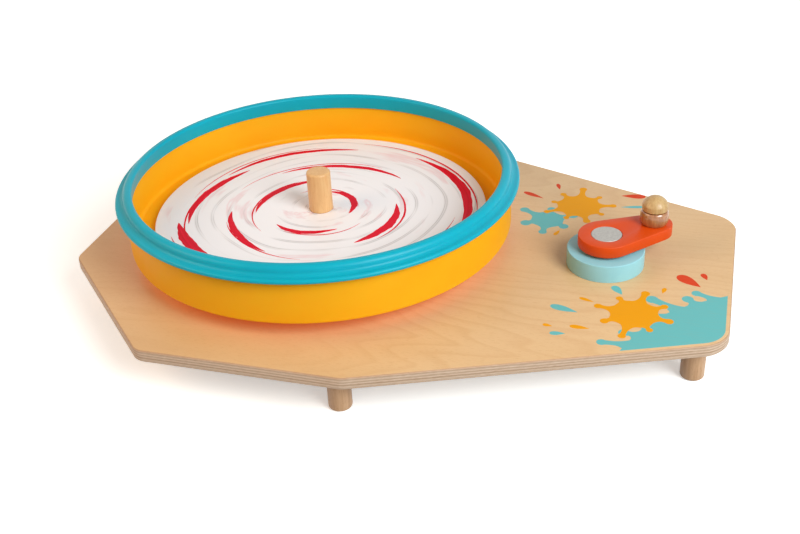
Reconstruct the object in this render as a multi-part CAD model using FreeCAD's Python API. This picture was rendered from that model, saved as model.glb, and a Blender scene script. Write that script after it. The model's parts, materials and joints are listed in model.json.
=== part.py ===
# Hand cranked spin art machine: a round tub turns on a plywood base, driven by a belt under the board.
# Millimetres. +X runs from the tub to the crank, +Y to the back, +Z up, and the feet stand on z = 0.
# The origin lies under the middle of the board's box.

import FreeCAD, Part

import math
import os

from FreeCAD import Vector

# Driving sizes of the plywood base
BOARD_THICK = 12.5
BOARD_APOTHEM = 235.5
BOARD_REACH = 413.7
BOARD_END_HALF_WIDTH = 113.3
BOARD_END_CORNER_RADIUS = 30.0
BOARD_SIDE_CORNER_RADIUS = 16.0
BOARD_ARRIS_RADIUS = 1.6
OCTAGON_SIDES = 8

# Driving sizes of the dowel legs
LEG_LENGTH = 40.0
LEG_RADIUS = 11.0
LEG_INSET = 28.5
LEG_INSET_LONG_SIDE = 31.2
LEG_EDGE_RADIUS = 2.5
LEG_SPIGOT_RADIUS = 6.0
LEG_SPIGOT_LENGTH = 8.0

# Clearances shared by every fit
FIXED_FIT = 0.05
RUNNING_FIT = 0.05
END_FLOAT = 0.2
BELT_CLEARANCE = 0.3

# Driving sizes of the shafts, plain bearings and the threaded ends
SHAFT_RADIUS = 5.0
THREAD_RADIUS = 4.0
BUSH_WALL = 2.4
BUSH_LENGTH = 9.0
BUSH_FLANGE_RADIUS = 10.0
BUSH_FLANGE_THICK = 2.0
THRUST_WASHER_RADIUS = 9.5
THRUST_WASHER_THICK = 1.0
NUT_ACROSS_FLATS = 13.0
NUT_HEIGHT = 6.5
NUT_WASHER_RADIUS = 8.0
NUT_WASHER_THICK = 1.6
THREAD_BEYOND_NUT = 1.5

# Driving sizes of the spindle housing under the tub
HOUSING_WALL = 5.5
HOUSING_STAND = 6.5
HOUSING_FLANGE_RADIUS = 28.0
HOUSING_FLANGE_THICK = 3.5
HOUSING_SCREW_CIRCLE_RADIUS = 21.0
HOUSING_SCREW_COUNT = 4
HOUSING_SCREW_BITE = 9.0

# Driving sizes of the hub, the tub and its rim ring
HUB_RADIUS = 45.0
HUB_THICK = 11.3
HUB_EDGE = 1.5
HUB_PIN_RADIUS = 1.5
HUB_PIN_LENGTH = 60.0
TUB_OUTER_RADIUS = 195.2
TUB_WALL = 5.0
TUB_REBATE = 2.0
TUB_FLOOR_THICK = 3.0
TUB_FOOT_DEPTH = 3.8
TUB_FOOT_WIDTH = 13.0
TUB_WALL_HEIGHT = 46.8
TUB_EDGE_RADIUS = 3.2
TUB_COVE_RADIUS = 4.0
TUB_RIB_COUNT = 12
TUB_RIB_THICK = 2.4
TUB_RIB_GAP = 5.0
TUB_SCREW_CIRCLE_RADIUS = 32.0
TUB_SCREW_COUNT = 4
TUB_SCREW_BITE = 7.5
RIM_LIP = 2.0
RIM_LIP_DROP = 2.5
RIM_COVER = 7.2
RIM_REACH = 8.3
RIM_BEAD_RADIUS = 2.4
RIM_GROOVE_SHARE = 0.2
RIM_SHOULDER = 0.1
RIM_CREST_HEIGHT = 6.7
RIM_CREST_WIDTH = 9.9
RIM_CREST_RADIUS = 5.3
RIM_INNER_RADIUS = 2.6

# Driving sizes of the painting disc and the peg that holds it
DISC_COVE_GAP = 16.2
DISC_THICK = 6.5
DISC_EDGE = 0.6
DISC_HOLE_CLEARANCE = 0.4
DISC_RECESS_DEPTH = 0.6
PEG_RADIUS = 12.25
PEG_ABOVE_DISC = 42.6
PEG_FOOT_RADIUS = 10.0
PEG_SHOULDER_BEVEL = 0.8
PEG_EDGE_RADIUS = 2.2
PEG_STUD_LENGTH = 28.0

# Driving sizes of the belt drive
CENTRE_DISTANCE = 292.4
BELT_RADIUS = 3.0
BELT_DROP = 15.0
DRIVEN_PITCH_RADIUS = 25.0
DRIVE_PITCH_RADIUS = 75.0
PULLEY_RIM_HEIGHT = 12.0
PULLEY_FLANGE_RISE = 4.0
PULLEY_EDGE = 0.8
GROOVE_FLARE = 1.2
DRIVE_RIM_DEPTH = 6.0
DRIVE_WEB_THICK = 5.0
DRIVE_BOSS_RADIUS = 13.0
DRIVEN_BOSS_RADIUS = 9.5

# Driving sizes of the crank
CRANK_BASE_RADIUS = 37.4
CRANK_BASE_HEIGHT = 18.0
CRANK_BASE_ARRIS = 0.7
CRANK_SCREW_CIRCLE_RADIUS = 24.0
CRANK_SCREW_COUNT = 3
CRANK_SCREW_BITE = 11.0
ARM_THICK = 11.5
ARM_LENGTH = 52.5
ARM_ANGLE = 37.0
ARM_HUB_RADIUS = 27.4
ARM_TIP_RADIUS = 18.0
ARM_ARRIS = 0.7
SHAFT_HEAD_RADIUS = 14.75
SHAFT_HEAD_THICK = 3.0
SHAFT_HEAD_EDGE = 0.4

# Driving sizes of the handle
BOLT_RADIUS = 3.0
BOLT_HEAD_RADIUS = 6.0
BOLT_HEAD_THICK = 3.2
ROLLER_END_RADIUS = 12.9
ROLLER_BELLY_RADIUS = 13.9
ROLLER_HEIGHT = 14.1
ROLLER_EDGE = 1.2
HANDLE_WASHER_RADIUS = 9.0
HANDLE_WASHER_THICK = 0.8
CAP_RADIUS = 12.4
CAP_BAND = 5.4
CAP_DOME_HEIGHT = 8.4
CAP_BOLT_BITE = 9.0

# Wood and machine screws
SCREW_RADIUS = 1.75
SCREW_HEAD_RADIUS = 3.5
SCREW_HEAD_THICK = 2.2

# Places along X, worked out so that the board's box is centred on the origin
TUB_X = (BOARD_APOTHEM - BOARD_REACH) / 2
CRANK_X = TUB_X + CENTRE_DISTANCE
BOARD_HALF_SIDE = BOARD_APOTHEM * math.tan(math.pi / OCTAGON_SIDES)

# Heights of the stack above the board
BOARD_BOTTOM = LEG_LENGTH
BOARD_TOP = BOARD_BOTTOM + BOARD_THICK
HOUSING_TOP = BOARD_TOP + HOUSING_STAND
HUB_BOTTOM = HOUSING_TOP + BUSH_FLANGE_THICK + END_FLOAT + THRUST_WASHER_THICK
HUB_TOP = HUB_BOTTOM + HUB_THICK
TUB_FLOOR = HUB_TOP + TUB_FLOOR_THICK
TUB_BOTTOM = HUB_TOP - TUB_FOOT_DEPTH
TUB_TOP = TUB_FLOOR + TUB_WALL_HEIGHT
RIM_SEAT = TUB_TOP - RIM_COVER
DISC_TOP = TUB_FLOOR + DISC_THICK
DISC_RECESS_FLOOR = DISC_TOP - DISC_RECESS_DEPTH
PEG_TOP = DISC_TOP + PEG_ABOVE_DISC
CRANK_BASE_TOP = BOARD_TOP + CRANK_BASE_HEIGHT
ARM_BOTTOM = CRANK_BASE_TOP + BUSH_FLANGE_THICK + END_FLOAT + THRUST_WASHER_THICK
ARM_TOP = ARM_BOTTOM + ARM_THICK

# Heights of the drive under the board
BELT_PLANE = BOARD_BOTTOM - BELT_DROP
PULLEY_TOP = BELT_PLANE + PULLEY_RIM_HEIGHT / 2
PULLEY_BOTTOM = BELT_PLANE - PULLEY_RIM_HEIGHT / 2
HOUSING_BOTTOM = BOARD_BOTTOM - HOUSING_FLANGE_THICK
DRIVEN_BOSS_TOP = HOUSING_BOTTOM - BUSH_FLANGE_THICK - END_FLOAT - THRUST_WASHER_THICK
DRIVE_BOSS_TOP = BOARD_BOTTOM - BUSH_FLANGE_THICK - END_FLOAT - THRUST_WASHER_THICK
NUT_TOP = PULLEY_BOTTOM - NUT_WASHER_THICK
SHAFT_END = NUT_TOP - NUT_HEIGHT - THREAD_BEYOND_NUT

# Radii that follow from a fit
BUSH_BORE_RADIUS = SHAFT_RADIUS + RUNNING_FIT
BUSH_RADIUS = BUSH_BORE_RADIUS + BUSH_WALL
BUSH_SEAT_RADIUS = BUSH_RADIUS + FIXED_FIT
HOUSING_RADIUS = BUSH_SEAT_RADIUS + HOUSING_WALL
TUB_INNER_RADIUS = TUB_OUTER_RADIUS - TUB_WALL
DISC_RADIUS = TUB_INNER_RADIUS - TUB_COVE_RADIUS - DISC_COVE_GAP
SHAFT_HOLE_RADIUS = SHAFT_RADIUS + FIXED_FIT
THREAD_HOLE_RADIUS = THREAD_RADIUS + FIXED_FIT
SCREW_HOLE_RADIUS = SCREW_RADIUS + FIXED_FIT

ARM_TIP_X = CRANK_X + ARM_LENGTH * math.cos(math.radians(ARM_ANGLE))
ARM_TIP_Y = ARM_LENGTH * math.sin(math.radians(ARM_ANGLE))

UP = Vector(0, 0, 1)


def cylinder(radius, bottom, top, x, y=0.0):
    """Upright cylinder between two heights."""
    return Part.makeCylinder(radius, top - bottom, Vector(x, y, bottom), UP)


def ring(outer, inner, bottom, top, x, y=0.0):
    """Upright ring, such as a washer."""
    return cylinder(outer, bottom, top, x, y).cut(cylinder(inner, bottom, top, x, y))


def outline(steps):
    """Closed wire through 2-D points; a step of two points is an arc through the first to the second."""
    edges = []
    here = steps[0]
    for step in steps[1:] + [steps[0]]:
        if isinstance(step[0], tuple):
            through, end = step
            edges.append(Part.Arc(*[Vector(r, 0, z) for r, z in (here, through, end)]).toShape())
            here = end
        elif math.dist(step, here) > 1e-6:
            edges.append(Part.LineSegment(Vector(here[0], 0, here[1]), Vector(step[0], 0, step[1])).toShape())
            here = step
    return Part.Wire(edges)


def turned(steps, x, y=0.0):
    """Solid turned about an upright axis from its half section of (radius, height) steps."""
    shape = Part.Face(outline(steps)).revolve(Vector(0, 0, 0), UP, 360)
    shape.translate(Vector(x, y, 0))
    return shape


def quarter(centre, radius, start):
    """Arc of a quarter turn about a point of the section, from an angle in degrees, turning left."""
    middle, end = [math.radians(start + turn) for turn in (45, 90)]
    return (
        (centre[0] + radius * math.cos(middle), centre[1] + radius * math.sin(middle)),
        (centre[0] + radius * math.cos(end), centre[1] + radius * math.sin(end)),
    )


def inward_quarter(centre, radius):
    """Cove from the foot of a wall to the floor, as the arc's middle and end."""
    middle = (centre[0] + radius * math.sqrt(0.5), centre[1] - radius * math.sqrt(0.5))
    return middle, (centre[0], centre[1] - radius)


def around(count, radius, x, phase=0.0):
    """Evenly spaced places on a circle about an upright axis."""
    turns = [phase + 2 * math.pi * number / count for number in range(count)]
    return [(x + radius * math.cos(turn), radius * math.sin(turn)) for turn in turns]


def joined(shapes):
    """Several separate solids as one group."""
    return shapes[0] if len(shapes) == 1 else Part.makeCompound(shapes)


def board_corners():
    """Corners of the board: an octagon round the tub, drawn out to the crank's end."""
    end = TUB_X + BOARD_REACH
    front = [
        (end, -BOARD_END_HALF_WIDTH, BOARD_END_CORNER_RADIUS),
        (TUB_X + BOARD_HALF_SIDE, -BOARD_APOTHEM, BOARD_SIDE_CORNER_RADIUS),
        (TUB_X - BOARD_HALF_SIDE, -BOARD_APOTHEM, BOARD_SIDE_CORNER_RADIUS),
        (TUB_X - BOARD_APOTHEM, -BOARD_HALF_SIDE, BOARD_SIDE_CORNER_RADIUS),
    ]
    return front + [(x, -y, radius) for x, y, radius in reversed(front)]


def inset_corner(before, corner, after, inset_before, inset_after):
    """Point inside a corner at set distances from the two edges that meet there."""
    towards = []
    for other in (before, after):
        length = math.dist(other[:2], corner[:2])
        towards.append(((other[0] - corner[0]) / length, (other[1] - corner[1]) / length))
    (ax, ay), (bx, by) = towards
    slant = abs(ax * by - ay * bx)
    along_before = inset_after / slant
    along_after = inset_before / slant
    return corner[0] + ax * along_before + bx * along_after, corner[1] + ay * along_before + by * along_after


def leg_places():
    """A leg inside each corner of the board, except the two beside the front and back of the tub."""
    corners = board_corners()
    count = len(corners)
    names = {
        0: ("leg_front_right", LEG_INSET, LEG_INSET),
        1: ("leg_front_middle", LEG_INSET_LONG_SIDE, LEG_INSET),
        3: ("leg_front_left", LEG_INSET, LEG_INSET),
        4: ("leg_rear_left", LEG_INSET, LEG_INSET),
        6: ("leg_rear_middle", LEG_INSET, LEG_INSET_LONG_SIDE),
        7: ("leg_rear_right", LEG_INSET, LEG_INSET),
    }
    places = {}
    for number, (name, inset_before, inset_after) in names.items():
        before = corners[number - 1]
        after = corners[(number + 1) % count]
        places[name] = inset_corner(before, corners[number], after, inset_before, inset_after)
    return places


def make_board():
    """Plywood base with rounded corners, leg sockets, shaft holes and pilot holes."""
    corners = board_corners()
    points = [Vector(x, y, BOARD_BOTTOM) for x, y, _ in corners]
    board = Part.Face(Part.makePolygon(points + points[:1])).extrude(UP * BOARD_THICK)
    for x, y, radius in corners:
        upright = [e for e in board.Edges if all(math.dist((v.X, v.Y), (x, y)) < 1e-3 for v in e.Vertexes)]
        board = board.makeFillet(radius, upright)
    flat = [e for e in board.Edges if abs(e.BoundBox.ZLength) < 1e-3]
    board = board.makeFillet(BOARD_ARRIS_RADIUS, flat)
    cuts = [cylinder(HOUSING_RADIUS + FIXED_FIT, BOARD_BOTTOM, BOARD_TOP, TUB_X)]
    cuts.append(cylinder(BUSH_SEAT_RADIUS, BOARD_BOTTOM, BOARD_TOP, CRANK_X))
    for x, y in leg_places().values():
        socket_top = BOARD_BOTTOM + LEG_SPIGOT_LENGTH + FIXED_FIT
        cuts.append(cylinder(LEG_SPIGOT_RADIUS + FIXED_FIT, BOARD_BOTTOM, socket_top, x, y))
    for x, y in housing_screw_places():
        cuts.append(cylinder(SCREW_HOLE_RADIUS, BOARD_BOTTOM, BOARD_BOTTOM + HOUSING_SCREW_BITE, x, y))
    for x, y in crank_screw_places():
        cuts.append(countersunk(SCREW_HOLE_RADIUS, FIXED_FIT, BOARD_BOTTOM, BOARD_TOP, x, y))
    return board.cut(Part.makeCompound(cuts))


def make_leg(x, y):
    """Dowel leg with a spigot that is glued into the board."""
    lower = LEG_RADIUS - LEG_EDGE_RADIUS
    spigot_top = LEG_LENGTH + LEG_SPIGOT_LENGTH
    return turned(
        [
            (0, 0),
            (lower, 0),
            quarter((lower, LEG_EDGE_RADIUS), LEG_EDGE_RADIUS, -90),
            (LEG_RADIUS, LEG_LENGTH),
            (LEG_SPIGOT_RADIUS, LEG_LENGTH),
            (LEG_SPIGOT_RADIUS, spigot_top),
            (0, spigot_top),
        ],
        x,
        y,
    )


def housing_screw_places():
    return around(HOUSING_SCREW_COUNT, HOUSING_SCREW_CIRCLE_RADIUS, TUB_X, math.pi / 4)


def crank_screw_places():
    return around(CRANK_SCREW_COUNT, CRANK_SCREW_CIRCLE_RADIUS, CRANK_X)


def tub_screw_places():
    return around(TUB_SCREW_COUNT, TUB_SCREW_CIRCLE_RADIUS, TUB_X, math.pi / 4)


def countersunk(radius, clearance, head_face, tip, x, y):
    """Countersunk screw, or its hole when there is a clearance, from its head's face to its tip."""
    way = 1 if tip > head_face else -1
    head = SCREW_HEAD_RADIUS + clearance
    neck = head_face + way * (SCREW_HEAD_THICK + clearance)
    return turned([(0, head_face), (head, head_face), (radius, neck), (radius, tip), (0, tip)], x, y)


def make_housing():
    """Flanged sleeve that comes up through the board and carries the spindle's two bushes."""
    sleeve = turned(
        [
            (BUSH_SEAT_RADIUS, HOUSING_BOTTOM),
            (HOUSING_FLANGE_RADIUS, HOUSING_BOTTOM),
            (HOUSING_FLANGE_RADIUS, BOARD_BOTTOM),
            (HOUSING_RADIUS, BOARD_BOTTOM),
            (HOUSING_RADIUS, HOUSING_TOP),
            (BUSH_SEAT_RADIUS, HOUSING_TOP),
        ],
        TUB_X,
    )
    holes = []
    for x, y in housing_screw_places():
        holes.append(cylinder(SCREW_HOLE_RADIUS, HOUSING_BOTTOM, BOARD_BOTTOM, x, y))
    return sleeve.cut(Part.makeCompound(holes))


def make_housing_screws():
    """Pan head wood screws that hold the housing's flange under the board."""
    tip = BOARD_BOTTOM + HOUSING_SCREW_BITE
    screws = []
    for x, y in housing_screw_places():
        head = cylinder(SCREW_HEAD_RADIUS, HOUSING_BOTTOM - SCREW_HEAD_THICK, HOUSING_BOTTOM, x, y)
        screws.append(head.fuse(cylinder(SCREW_RADIUS, HOUSING_BOTTOM, tip, x, y)).removeSplitter())
    return joined(screws)


def make_bush(seat, way, x):
    """Flanged plain bearing: its flange lies on a seat face and its barrel goes in, up or down."""
    flange = sorted((seat, seat - way * BUSH_FLANGE_THICK))
    barrel = sorted((seat, seat + way * BUSH_LENGTH))
    body = cylinder(BUSH_FLANGE_RADIUS, *flange, x).fuse(cylinder(BUSH_RADIUS, *barrel, x))
    bore = cylinder(BUSH_BORE_RADIUS, min(flange[0], barrel[0]), max(flange[1], barrel[1]), x)
    return body.cut(bore).removeSplitter()


def make_nut(x):
    """Hexagon nut on a shaft's threaded lower end."""
    corner = NUT_ACROSS_FLATS / 2 / math.cos(math.pi / 6)
    points = [Vector(px, py, NUT_TOP - NUT_HEIGHT) for px, py in around(6, corner, x)]
    body = Part.Face(Part.makePolygon(points + points[:1])).extrude(UP * NUT_HEIGHT)
    return body.cut(cylinder(THREAD_HOLE_RADIUS, NUT_TOP - NUT_HEIGHT, NUT_TOP, x))


def hub_pin(radius, length):
    """Cross pin through the hub and the spindle, or its hole when it is a little larger."""
    height = (HUB_BOTTOM + HUB_TOP) / 2
    return Part.makeCylinder(radius, length, Vector(TUB_X - length / 2, 0, height), Vector(1, 0, 0))


def make_spindle():
    """Steel spindle: shoulder on the pulley, plain run through the bushes, thinner stud in the peg."""
    stud_top = TUB_FLOOR + PEG_STUD_LENGTH
    shaft = turned(
        [
            (0, SHAFT_END),
            (THREAD_RADIUS, SHAFT_END),
            (THREAD_RADIUS, DRIVEN_BOSS_TOP),
            (SHAFT_RADIUS, DRIVEN_BOSS_TOP),
            (SHAFT_RADIUS, TUB_FLOOR),
            (THREAD_RADIUS, TUB_FLOOR),
            (THREAD_RADIUS, stud_top),
            (0, stud_top),
        ],
        TUB_X,
    )
    return shaft.cut(hub_pin(HUB_PIN_RADIUS + FIXED_FIT, HUB_PIN_LENGTH))


def make_hub():
    """Disc on the spindle that the tub is screwed to."""
    edge = HUB_EDGE
    hub = turned(
        [
            (SHAFT_HOLE_RADIUS, HUB_BOTTOM),
            (HUB_RADIUS - edge, HUB_BOTTOM),
            (HUB_RADIUS, HUB_BOTTOM + edge),
            (HUB_RADIUS, HUB_TOP),
            (SHAFT_HOLE_RADIUS, HUB_TOP),
        ],
        TUB_X,
    )
    cuts = [hub_pin(HUB_PIN_RADIUS + FIXED_FIT, 2 * HUB_RADIUS)]
    for x, y in tub_screw_places():
        cuts.append(cylinder(SCREW_HOLE_RADIUS, HUB_TOP - TUB_SCREW_BITE, HUB_TOP, x, y))
    return hub.cut(Part.makeCompound(cuts))


def make_tub():
    """Moulded tub: coved floor, upright wall with a rebate for the ring, foot ring and ribs underneath."""
    cove = TUB_COVE_RADIUS
    edge = TUB_EDGE_RADIUS
    foot_inner = TUB_OUTER_RADIUS - TUB_FOOT_WIDTH
    shell = turned(
        [
            (SHAFT_HOLE_RADIUS, HUB_TOP),
            (foot_inner, HUB_TOP),
            (foot_inner, TUB_BOTTOM),
            (TUB_OUTER_RADIUS - edge, TUB_BOTTOM),
            quarter((TUB_OUTER_RADIUS - edge, TUB_BOTTOM + edge), edge, -90),
            (TUB_OUTER_RADIUS, RIM_SEAT),
            (TUB_OUTER_RADIUS - TUB_REBATE, RIM_SEAT),
            (TUB_OUTER_RADIUS - TUB_REBATE, TUB_TOP),
            (TUB_INNER_RADIUS, TUB_TOP),
            (TUB_INNER_RADIUS, TUB_FLOOR + cove),
            inward_quarter((TUB_INNER_RADIUS - cove, TUB_FLOOR + cove), cove),
            (SHAFT_HOLE_RADIUS, TUB_FLOOR),
        ],
        TUB_X,
    )
    start = HUB_RADIUS + TUB_RIB_GAP
    rib = Part.makeBox(
        foot_inner - start, TUB_RIB_THICK, TUB_FOOT_DEPTH, Vector(start, -TUB_RIB_THICK / 2, TUB_BOTTOM)
    )
    for number in range(TUB_RIB_COUNT):
        turned_rib = rib.copy()
        turned_rib.rotate(Vector(0, 0, 0), UP, 360 * number / TUB_RIB_COUNT)
        turned_rib.translate(Vector(TUB_X, 0, 0))
        shell = shell.fuse(turned_rib)
    holes = [
        countersunk(SCREW_HOLE_RADIUS, FIXED_FIT, TUB_FLOOR, HUB_TOP, x, y) for x, y in tub_screw_places()
    ]
    return shell.cut(Part.makeCompound(holes))


def make_tub_screws():
    """Countersunk screws through the tub's floor into the hub, flush under the disc."""
    tip = HUB_TOP - TUB_SCREW_BITE
    return joined([countersunk(SCREW_RADIUS, 0, TUB_FLOOR, tip, x, y) for x, y in tub_screw_places()])


def make_rim():
    """Splash ring pushed over the wall: rounded crest, hollow groove, round bead, thin lip inside."""
    slot_in = TUB_INNER_RADIUS - FIXED_FIT
    slot_out = TUB_OUTER_RADIUS - TUB_REBATE + FIXED_FIT
    lip_foot = RIM_SEAT - RIM_LIP_DROP
    foot = RIM_SEAT + FIXED_FIT
    outside = TUB_OUTER_RADIUS + RIM_REACH
    bead_centre = (outside - RIM_BEAD_RADIUS, foot + RIM_BEAD_RADIUS)
    bead_top = foot + 2 * RIM_BEAD_RADIUS
    crest = TUB_TOP + RIM_CREST_HEIGHT
    shoulder = TUB_OUTER_RADIUS + RIM_SHOULDER
    shoulder_foot = crest - RIM_CREST_RADIUS
    groove = (
        shoulder + RIM_GROOVE_SHARE * (bead_centre[0] - shoulder),
        bead_top + RIM_GROOVE_SHARE * (shoulder_foot - bead_top),
    )
    inside = shoulder - RIM_CREST_WIDTH
    inner_centre = (inside + RIM_INNER_RADIUS, crest - RIM_INNER_RADIUS)
    return turned(
        [
            (slot_in - RIM_LIP, lip_foot),
            (slot_in, lip_foot),
            (slot_in, TUB_TOP),
            (slot_out, TUB_TOP),
            (slot_out, foot),
            (bead_centre[0], foot),
            ((outside, bead_centre[1]), (bead_centre[0], bead_top)),
            (groove, (shoulder, shoulder_foot)),
            quarter((shoulder - RIM_CREST_RADIUS, shoulder_foot), RIM_CREST_RADIUS, 0),
            (inner_centre[0], crest),
            quarter(inner_centre, RIM_INNER_RADIUS, 90),
        ],
        TUB_X,
    )


def make_disc():
    """Stiff white painting disc, with a shallow recess for the shoulder of the peg that clamps it."""
    edge = DISC_EDGE
    hole = PEG_FOOT_RADIUS + DISC_HOLE_CLEARANCE
    recess = PEG_RADIUS + DISC_HOLE_CLEARANCE
    return turned(
        [
            (hole, TUB_FLOOR),
            (DISC_RADIUS, TUB_FLOOR),
            (DISC_RADIUS, DISC_TOP - edge),
            (DISC_RADIUS - edge, DISC_TOP),
            (recess, DISC_TOP),
            (recess, DISC_RECESS_FLOOR),
            (hole, DISC_RECESS_FLOOR),
        ],
        TUB_X,
    )


def make_peg():
    """Dowel peg screwed on the spindle's stud: foot through the disc, shoulder in its recess."""
    edge = PEG_EDGE_RADIUS
    bore_top = TUB_FLOOR + PEG_STUD_LENGTH + FIXED_FIT
    return turned(
        [
            (THREAD_HOLE_RADIUS, TUB_FLOOR),
            (PEG_FOOT_RADIUS, TUB_FLOOR),
            (PEG_FOOT_RADIUS, DISC_RECESS_FLOOR),
            (PEG_RADIUS - PEG_SHOULDER_BEVEL, DISC_RECESS_FLOOR),
            (PEG_RADIUS, DISC_RECESS_FLOOR + PEG_SHOULDER_BEVEL),
            (PEG_RADIUS, PEG_TOP - edge),
            quarter((PEG_RADIUS - edge, PEG_TOP - edge), edge, 0),
            (0, PEG_TOP),
            (0, bore_top),
            (THREAD_HOLE_RADIUS, bore_top),
        ],
        TUB_X,
    )


def rim_steps(pitch):
    """Outer side of a pulley's half section, from its lower edge to its upper one, with the groove."""
    flange = pitch + PULLEY_FLANGE_RISE
    groove = BELT_RADIUS + BELT_CLEARANCE
    mouth = groove + GROOVE_FLARE
    return [
        (flange - PULLEY_EDGE, PULLEY_BOTTOM),
        (flange, PULLEY_BOTTOM + PULLEY_EDGE),
        (flange, BELT_PLANE - mouth),
        (pitch, BELT_PLANE - groove),
        ((pitch - groove, BELT_PLANE), (pitch, BELT_PLANE + groove)),
        (flange, BELT_PLANE + mouth),
        (flange, PULLEY_TOP - PULLEY_EDGE),
        (flange - PULLEY_EDGE, PULLEY_TOP),
    ]


def make_driven_pulley():
    """Small grooved pulley clamped on the spindle."""
    steps = [(THREAD_HOLE_RADIUS, PULLEY_BOTTOM)] + rim_steps(DRIVEN_PITCH_RADIUS)
    steps += [
        (DRIVEN_BOSS_RADIUS, PULLEY_TOP),
        (DRIVEN_BOSS_RADIUS, DRIVEN_BOSS_TOP),
        (THREAD_HOLE_RADIUS, DRIVEN_BOSS_TOP),
    ]
    return turned(steps, TUB_X)


def make_drive_pulley():
    """Large grooved pulley with a thin web and a long boss."""
    web_bottom = BELT_PLANE - DRIVE_WEB_THICK / 2
    web_top = BELT_PLANE + DRIVE_WEB_THICK / 2
    rim_inner = DRIVE_PITCH_RADIUS - BELT_RADIUS - BELT_CLEARANCE - DRIVE_RIM_DEPTH
    steps = [
        (THREAD_HOLE_RADIUS, PULLEY_BOTTOM),
        (DRIVE_BOSS_RADIUS, PULLEY_BOTTOM),
        (DRIVE_BOSS_RADIUS, web_bottom),
        (rim_inner, web_bottom),
        (rim_inner, PULLEY_BOTTOM),
    ]
    steps += rim_steps(DRIVE_PITCH_RADIUS)
    steps += [
        (rim_inner, PULLEY_TOP),
        (rim_inner, web_top),
        (DRIVE_BOSS_RADIUS, web_top),
        (DRIVE_BOSS_RADIUS, DRIVE_BOSS_TOP),
        (THREAD_HOLE_RADIUS, DRIVE_BOSS_TOP),
    ]
    return turned(steps, CRANK_X)


def make_belt():
    """Round rubber belt: two straight runs and a bend round each pulley."""
    lean = math.asin((DRIVE_PITCH_RADIUS - DRIVEN_PITCH_RADIUS) / CENTRE_DISTANCE)
    run = CENTRE_DISTANCE * math.cos(lean)
    pieces = []
    for side in (1, -1):
        along = Vector(math.cos(lean), side * math.sin(lean), 0)
        start = Vector(
            TUB_X - DRIVEN_PITCH_RADIUS * math.sin(lean),
            side * DRIVEN_PITCH_RADIUS * math.cos(lean),
            BELT_PLANE,
        )
        pieces.append(Part.makeCylinder(BELT_RADIUS, run, start, along))
    bends = [
        (TUB_X, DRIVEN_PITCH_RADIUS, math.pi / 2 + lean, math.pi - 2 * lean),
        (CRANK_X, DRIVE_PITCH_RADIUS, -math.pi / 2 - lean, math.pi + 2 * lean),
    ]
    for x, pitch, first, sweep in bends:
        centre = Vector(x, 0, BELT_PLANE)
        out = Vector(math.cos(first), math.sin(first), 0)
        circle = Part.Circle(centre + out * pitch, out.cross(UP), BELT_RADIUS)
        section = Part.Face(Part.Wire(circle.toShape()))
        pieces.append(section.revolve(centre, UP, math.degrees(sweep)))
    return pieces[0].fuse(pieces[1:]).removeSplitter()


def make_crank_base():
    """Turned wooden bearing block that the crank stands on."""
    arris = CRANK_BASE_ARRIS
    block = turned(
        [
            (BUSH_SEAT_RADIUS, BOARD_TOP),
            (CRANK_BASE_RADIUS, BOARD_TOP),
            (CRANK_BASE_RADIUS, CRANK_BASE_TOP - arris),
            (CRANK_BASE_RADIUS - arris, CRANK_BASE_TOP),
            (BUSH_SEAT_RADIUS, CRANK_BASE_TOP),
        ],
        CRANK_X,
    )
    pilots = [
        cylinder(SCREW_HOLE_RADIUS, BOARD_TOP, BOARD_TOP + CRANK_SCREW_BITE, x, y)
        for x, y in crank_screw_places()
    ]
    return block.cut(Part.makeCompound(pilots))


def make_crank_screws():
    """Countersunk screws up through the board into the bearing block."""
    tip = BOARD_TOP + CRANK_SCREW_BITE
    return joined([countersunk(SCREW_RADIUS, 0, BOARD_BOTTOM, tip, x, y) for x, y in crank_screw_places()])


def square_neck(clearance):
    """Square part of the crank shaft that turns the arm, or its hole when there is a clearance."""
    side = 2 * (SHAFT_RADIUS + clearance)
    neck = Part.makeBox(side, side, ARM_THICK - SHAFT_HEAD_THICK, Vector(-side / 2, -side / 2, ARM_BOTTOM))
    neck.rotate(Vector(0, 0, 0), UP, ARM_ANGLE)
    neck.translate(Vector(CRANK_X, 0, 0))
    return neck


def make_crank_shaft():
    """Steel crank shaft: wide flat head flush in the arm, square neck, plain run, threaded end."""
    head_bottom = ARM_TOP - SHAFT_HEAD_THICK
    edge = SHAFT_HEAD_EDGE
    shaft = turned(
        [
            (0, SHAFT_END),
            (THREAD_RADIUS, SHAFT_END),
            (THREAD_RADIUS, DRIVE_BOSS_TOP),
            (SHAFT_RADIUS, DRIVE_BOSS_TOP),
            (SHAFT_RADIUS, head_bottom),
            (SHAFT_HEAD_RADIUS, head_bottom),
            (SHAFT_HEAD_RADIUS, ARM_TOP - edge),
            (SHAFT_HEAD_RADIUS - edge, ARM_TOP),
            (0, ARM_TOP),
        ],
        CRANK_X,
    )
    return shaft.fuse(square_neck(0))


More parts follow.
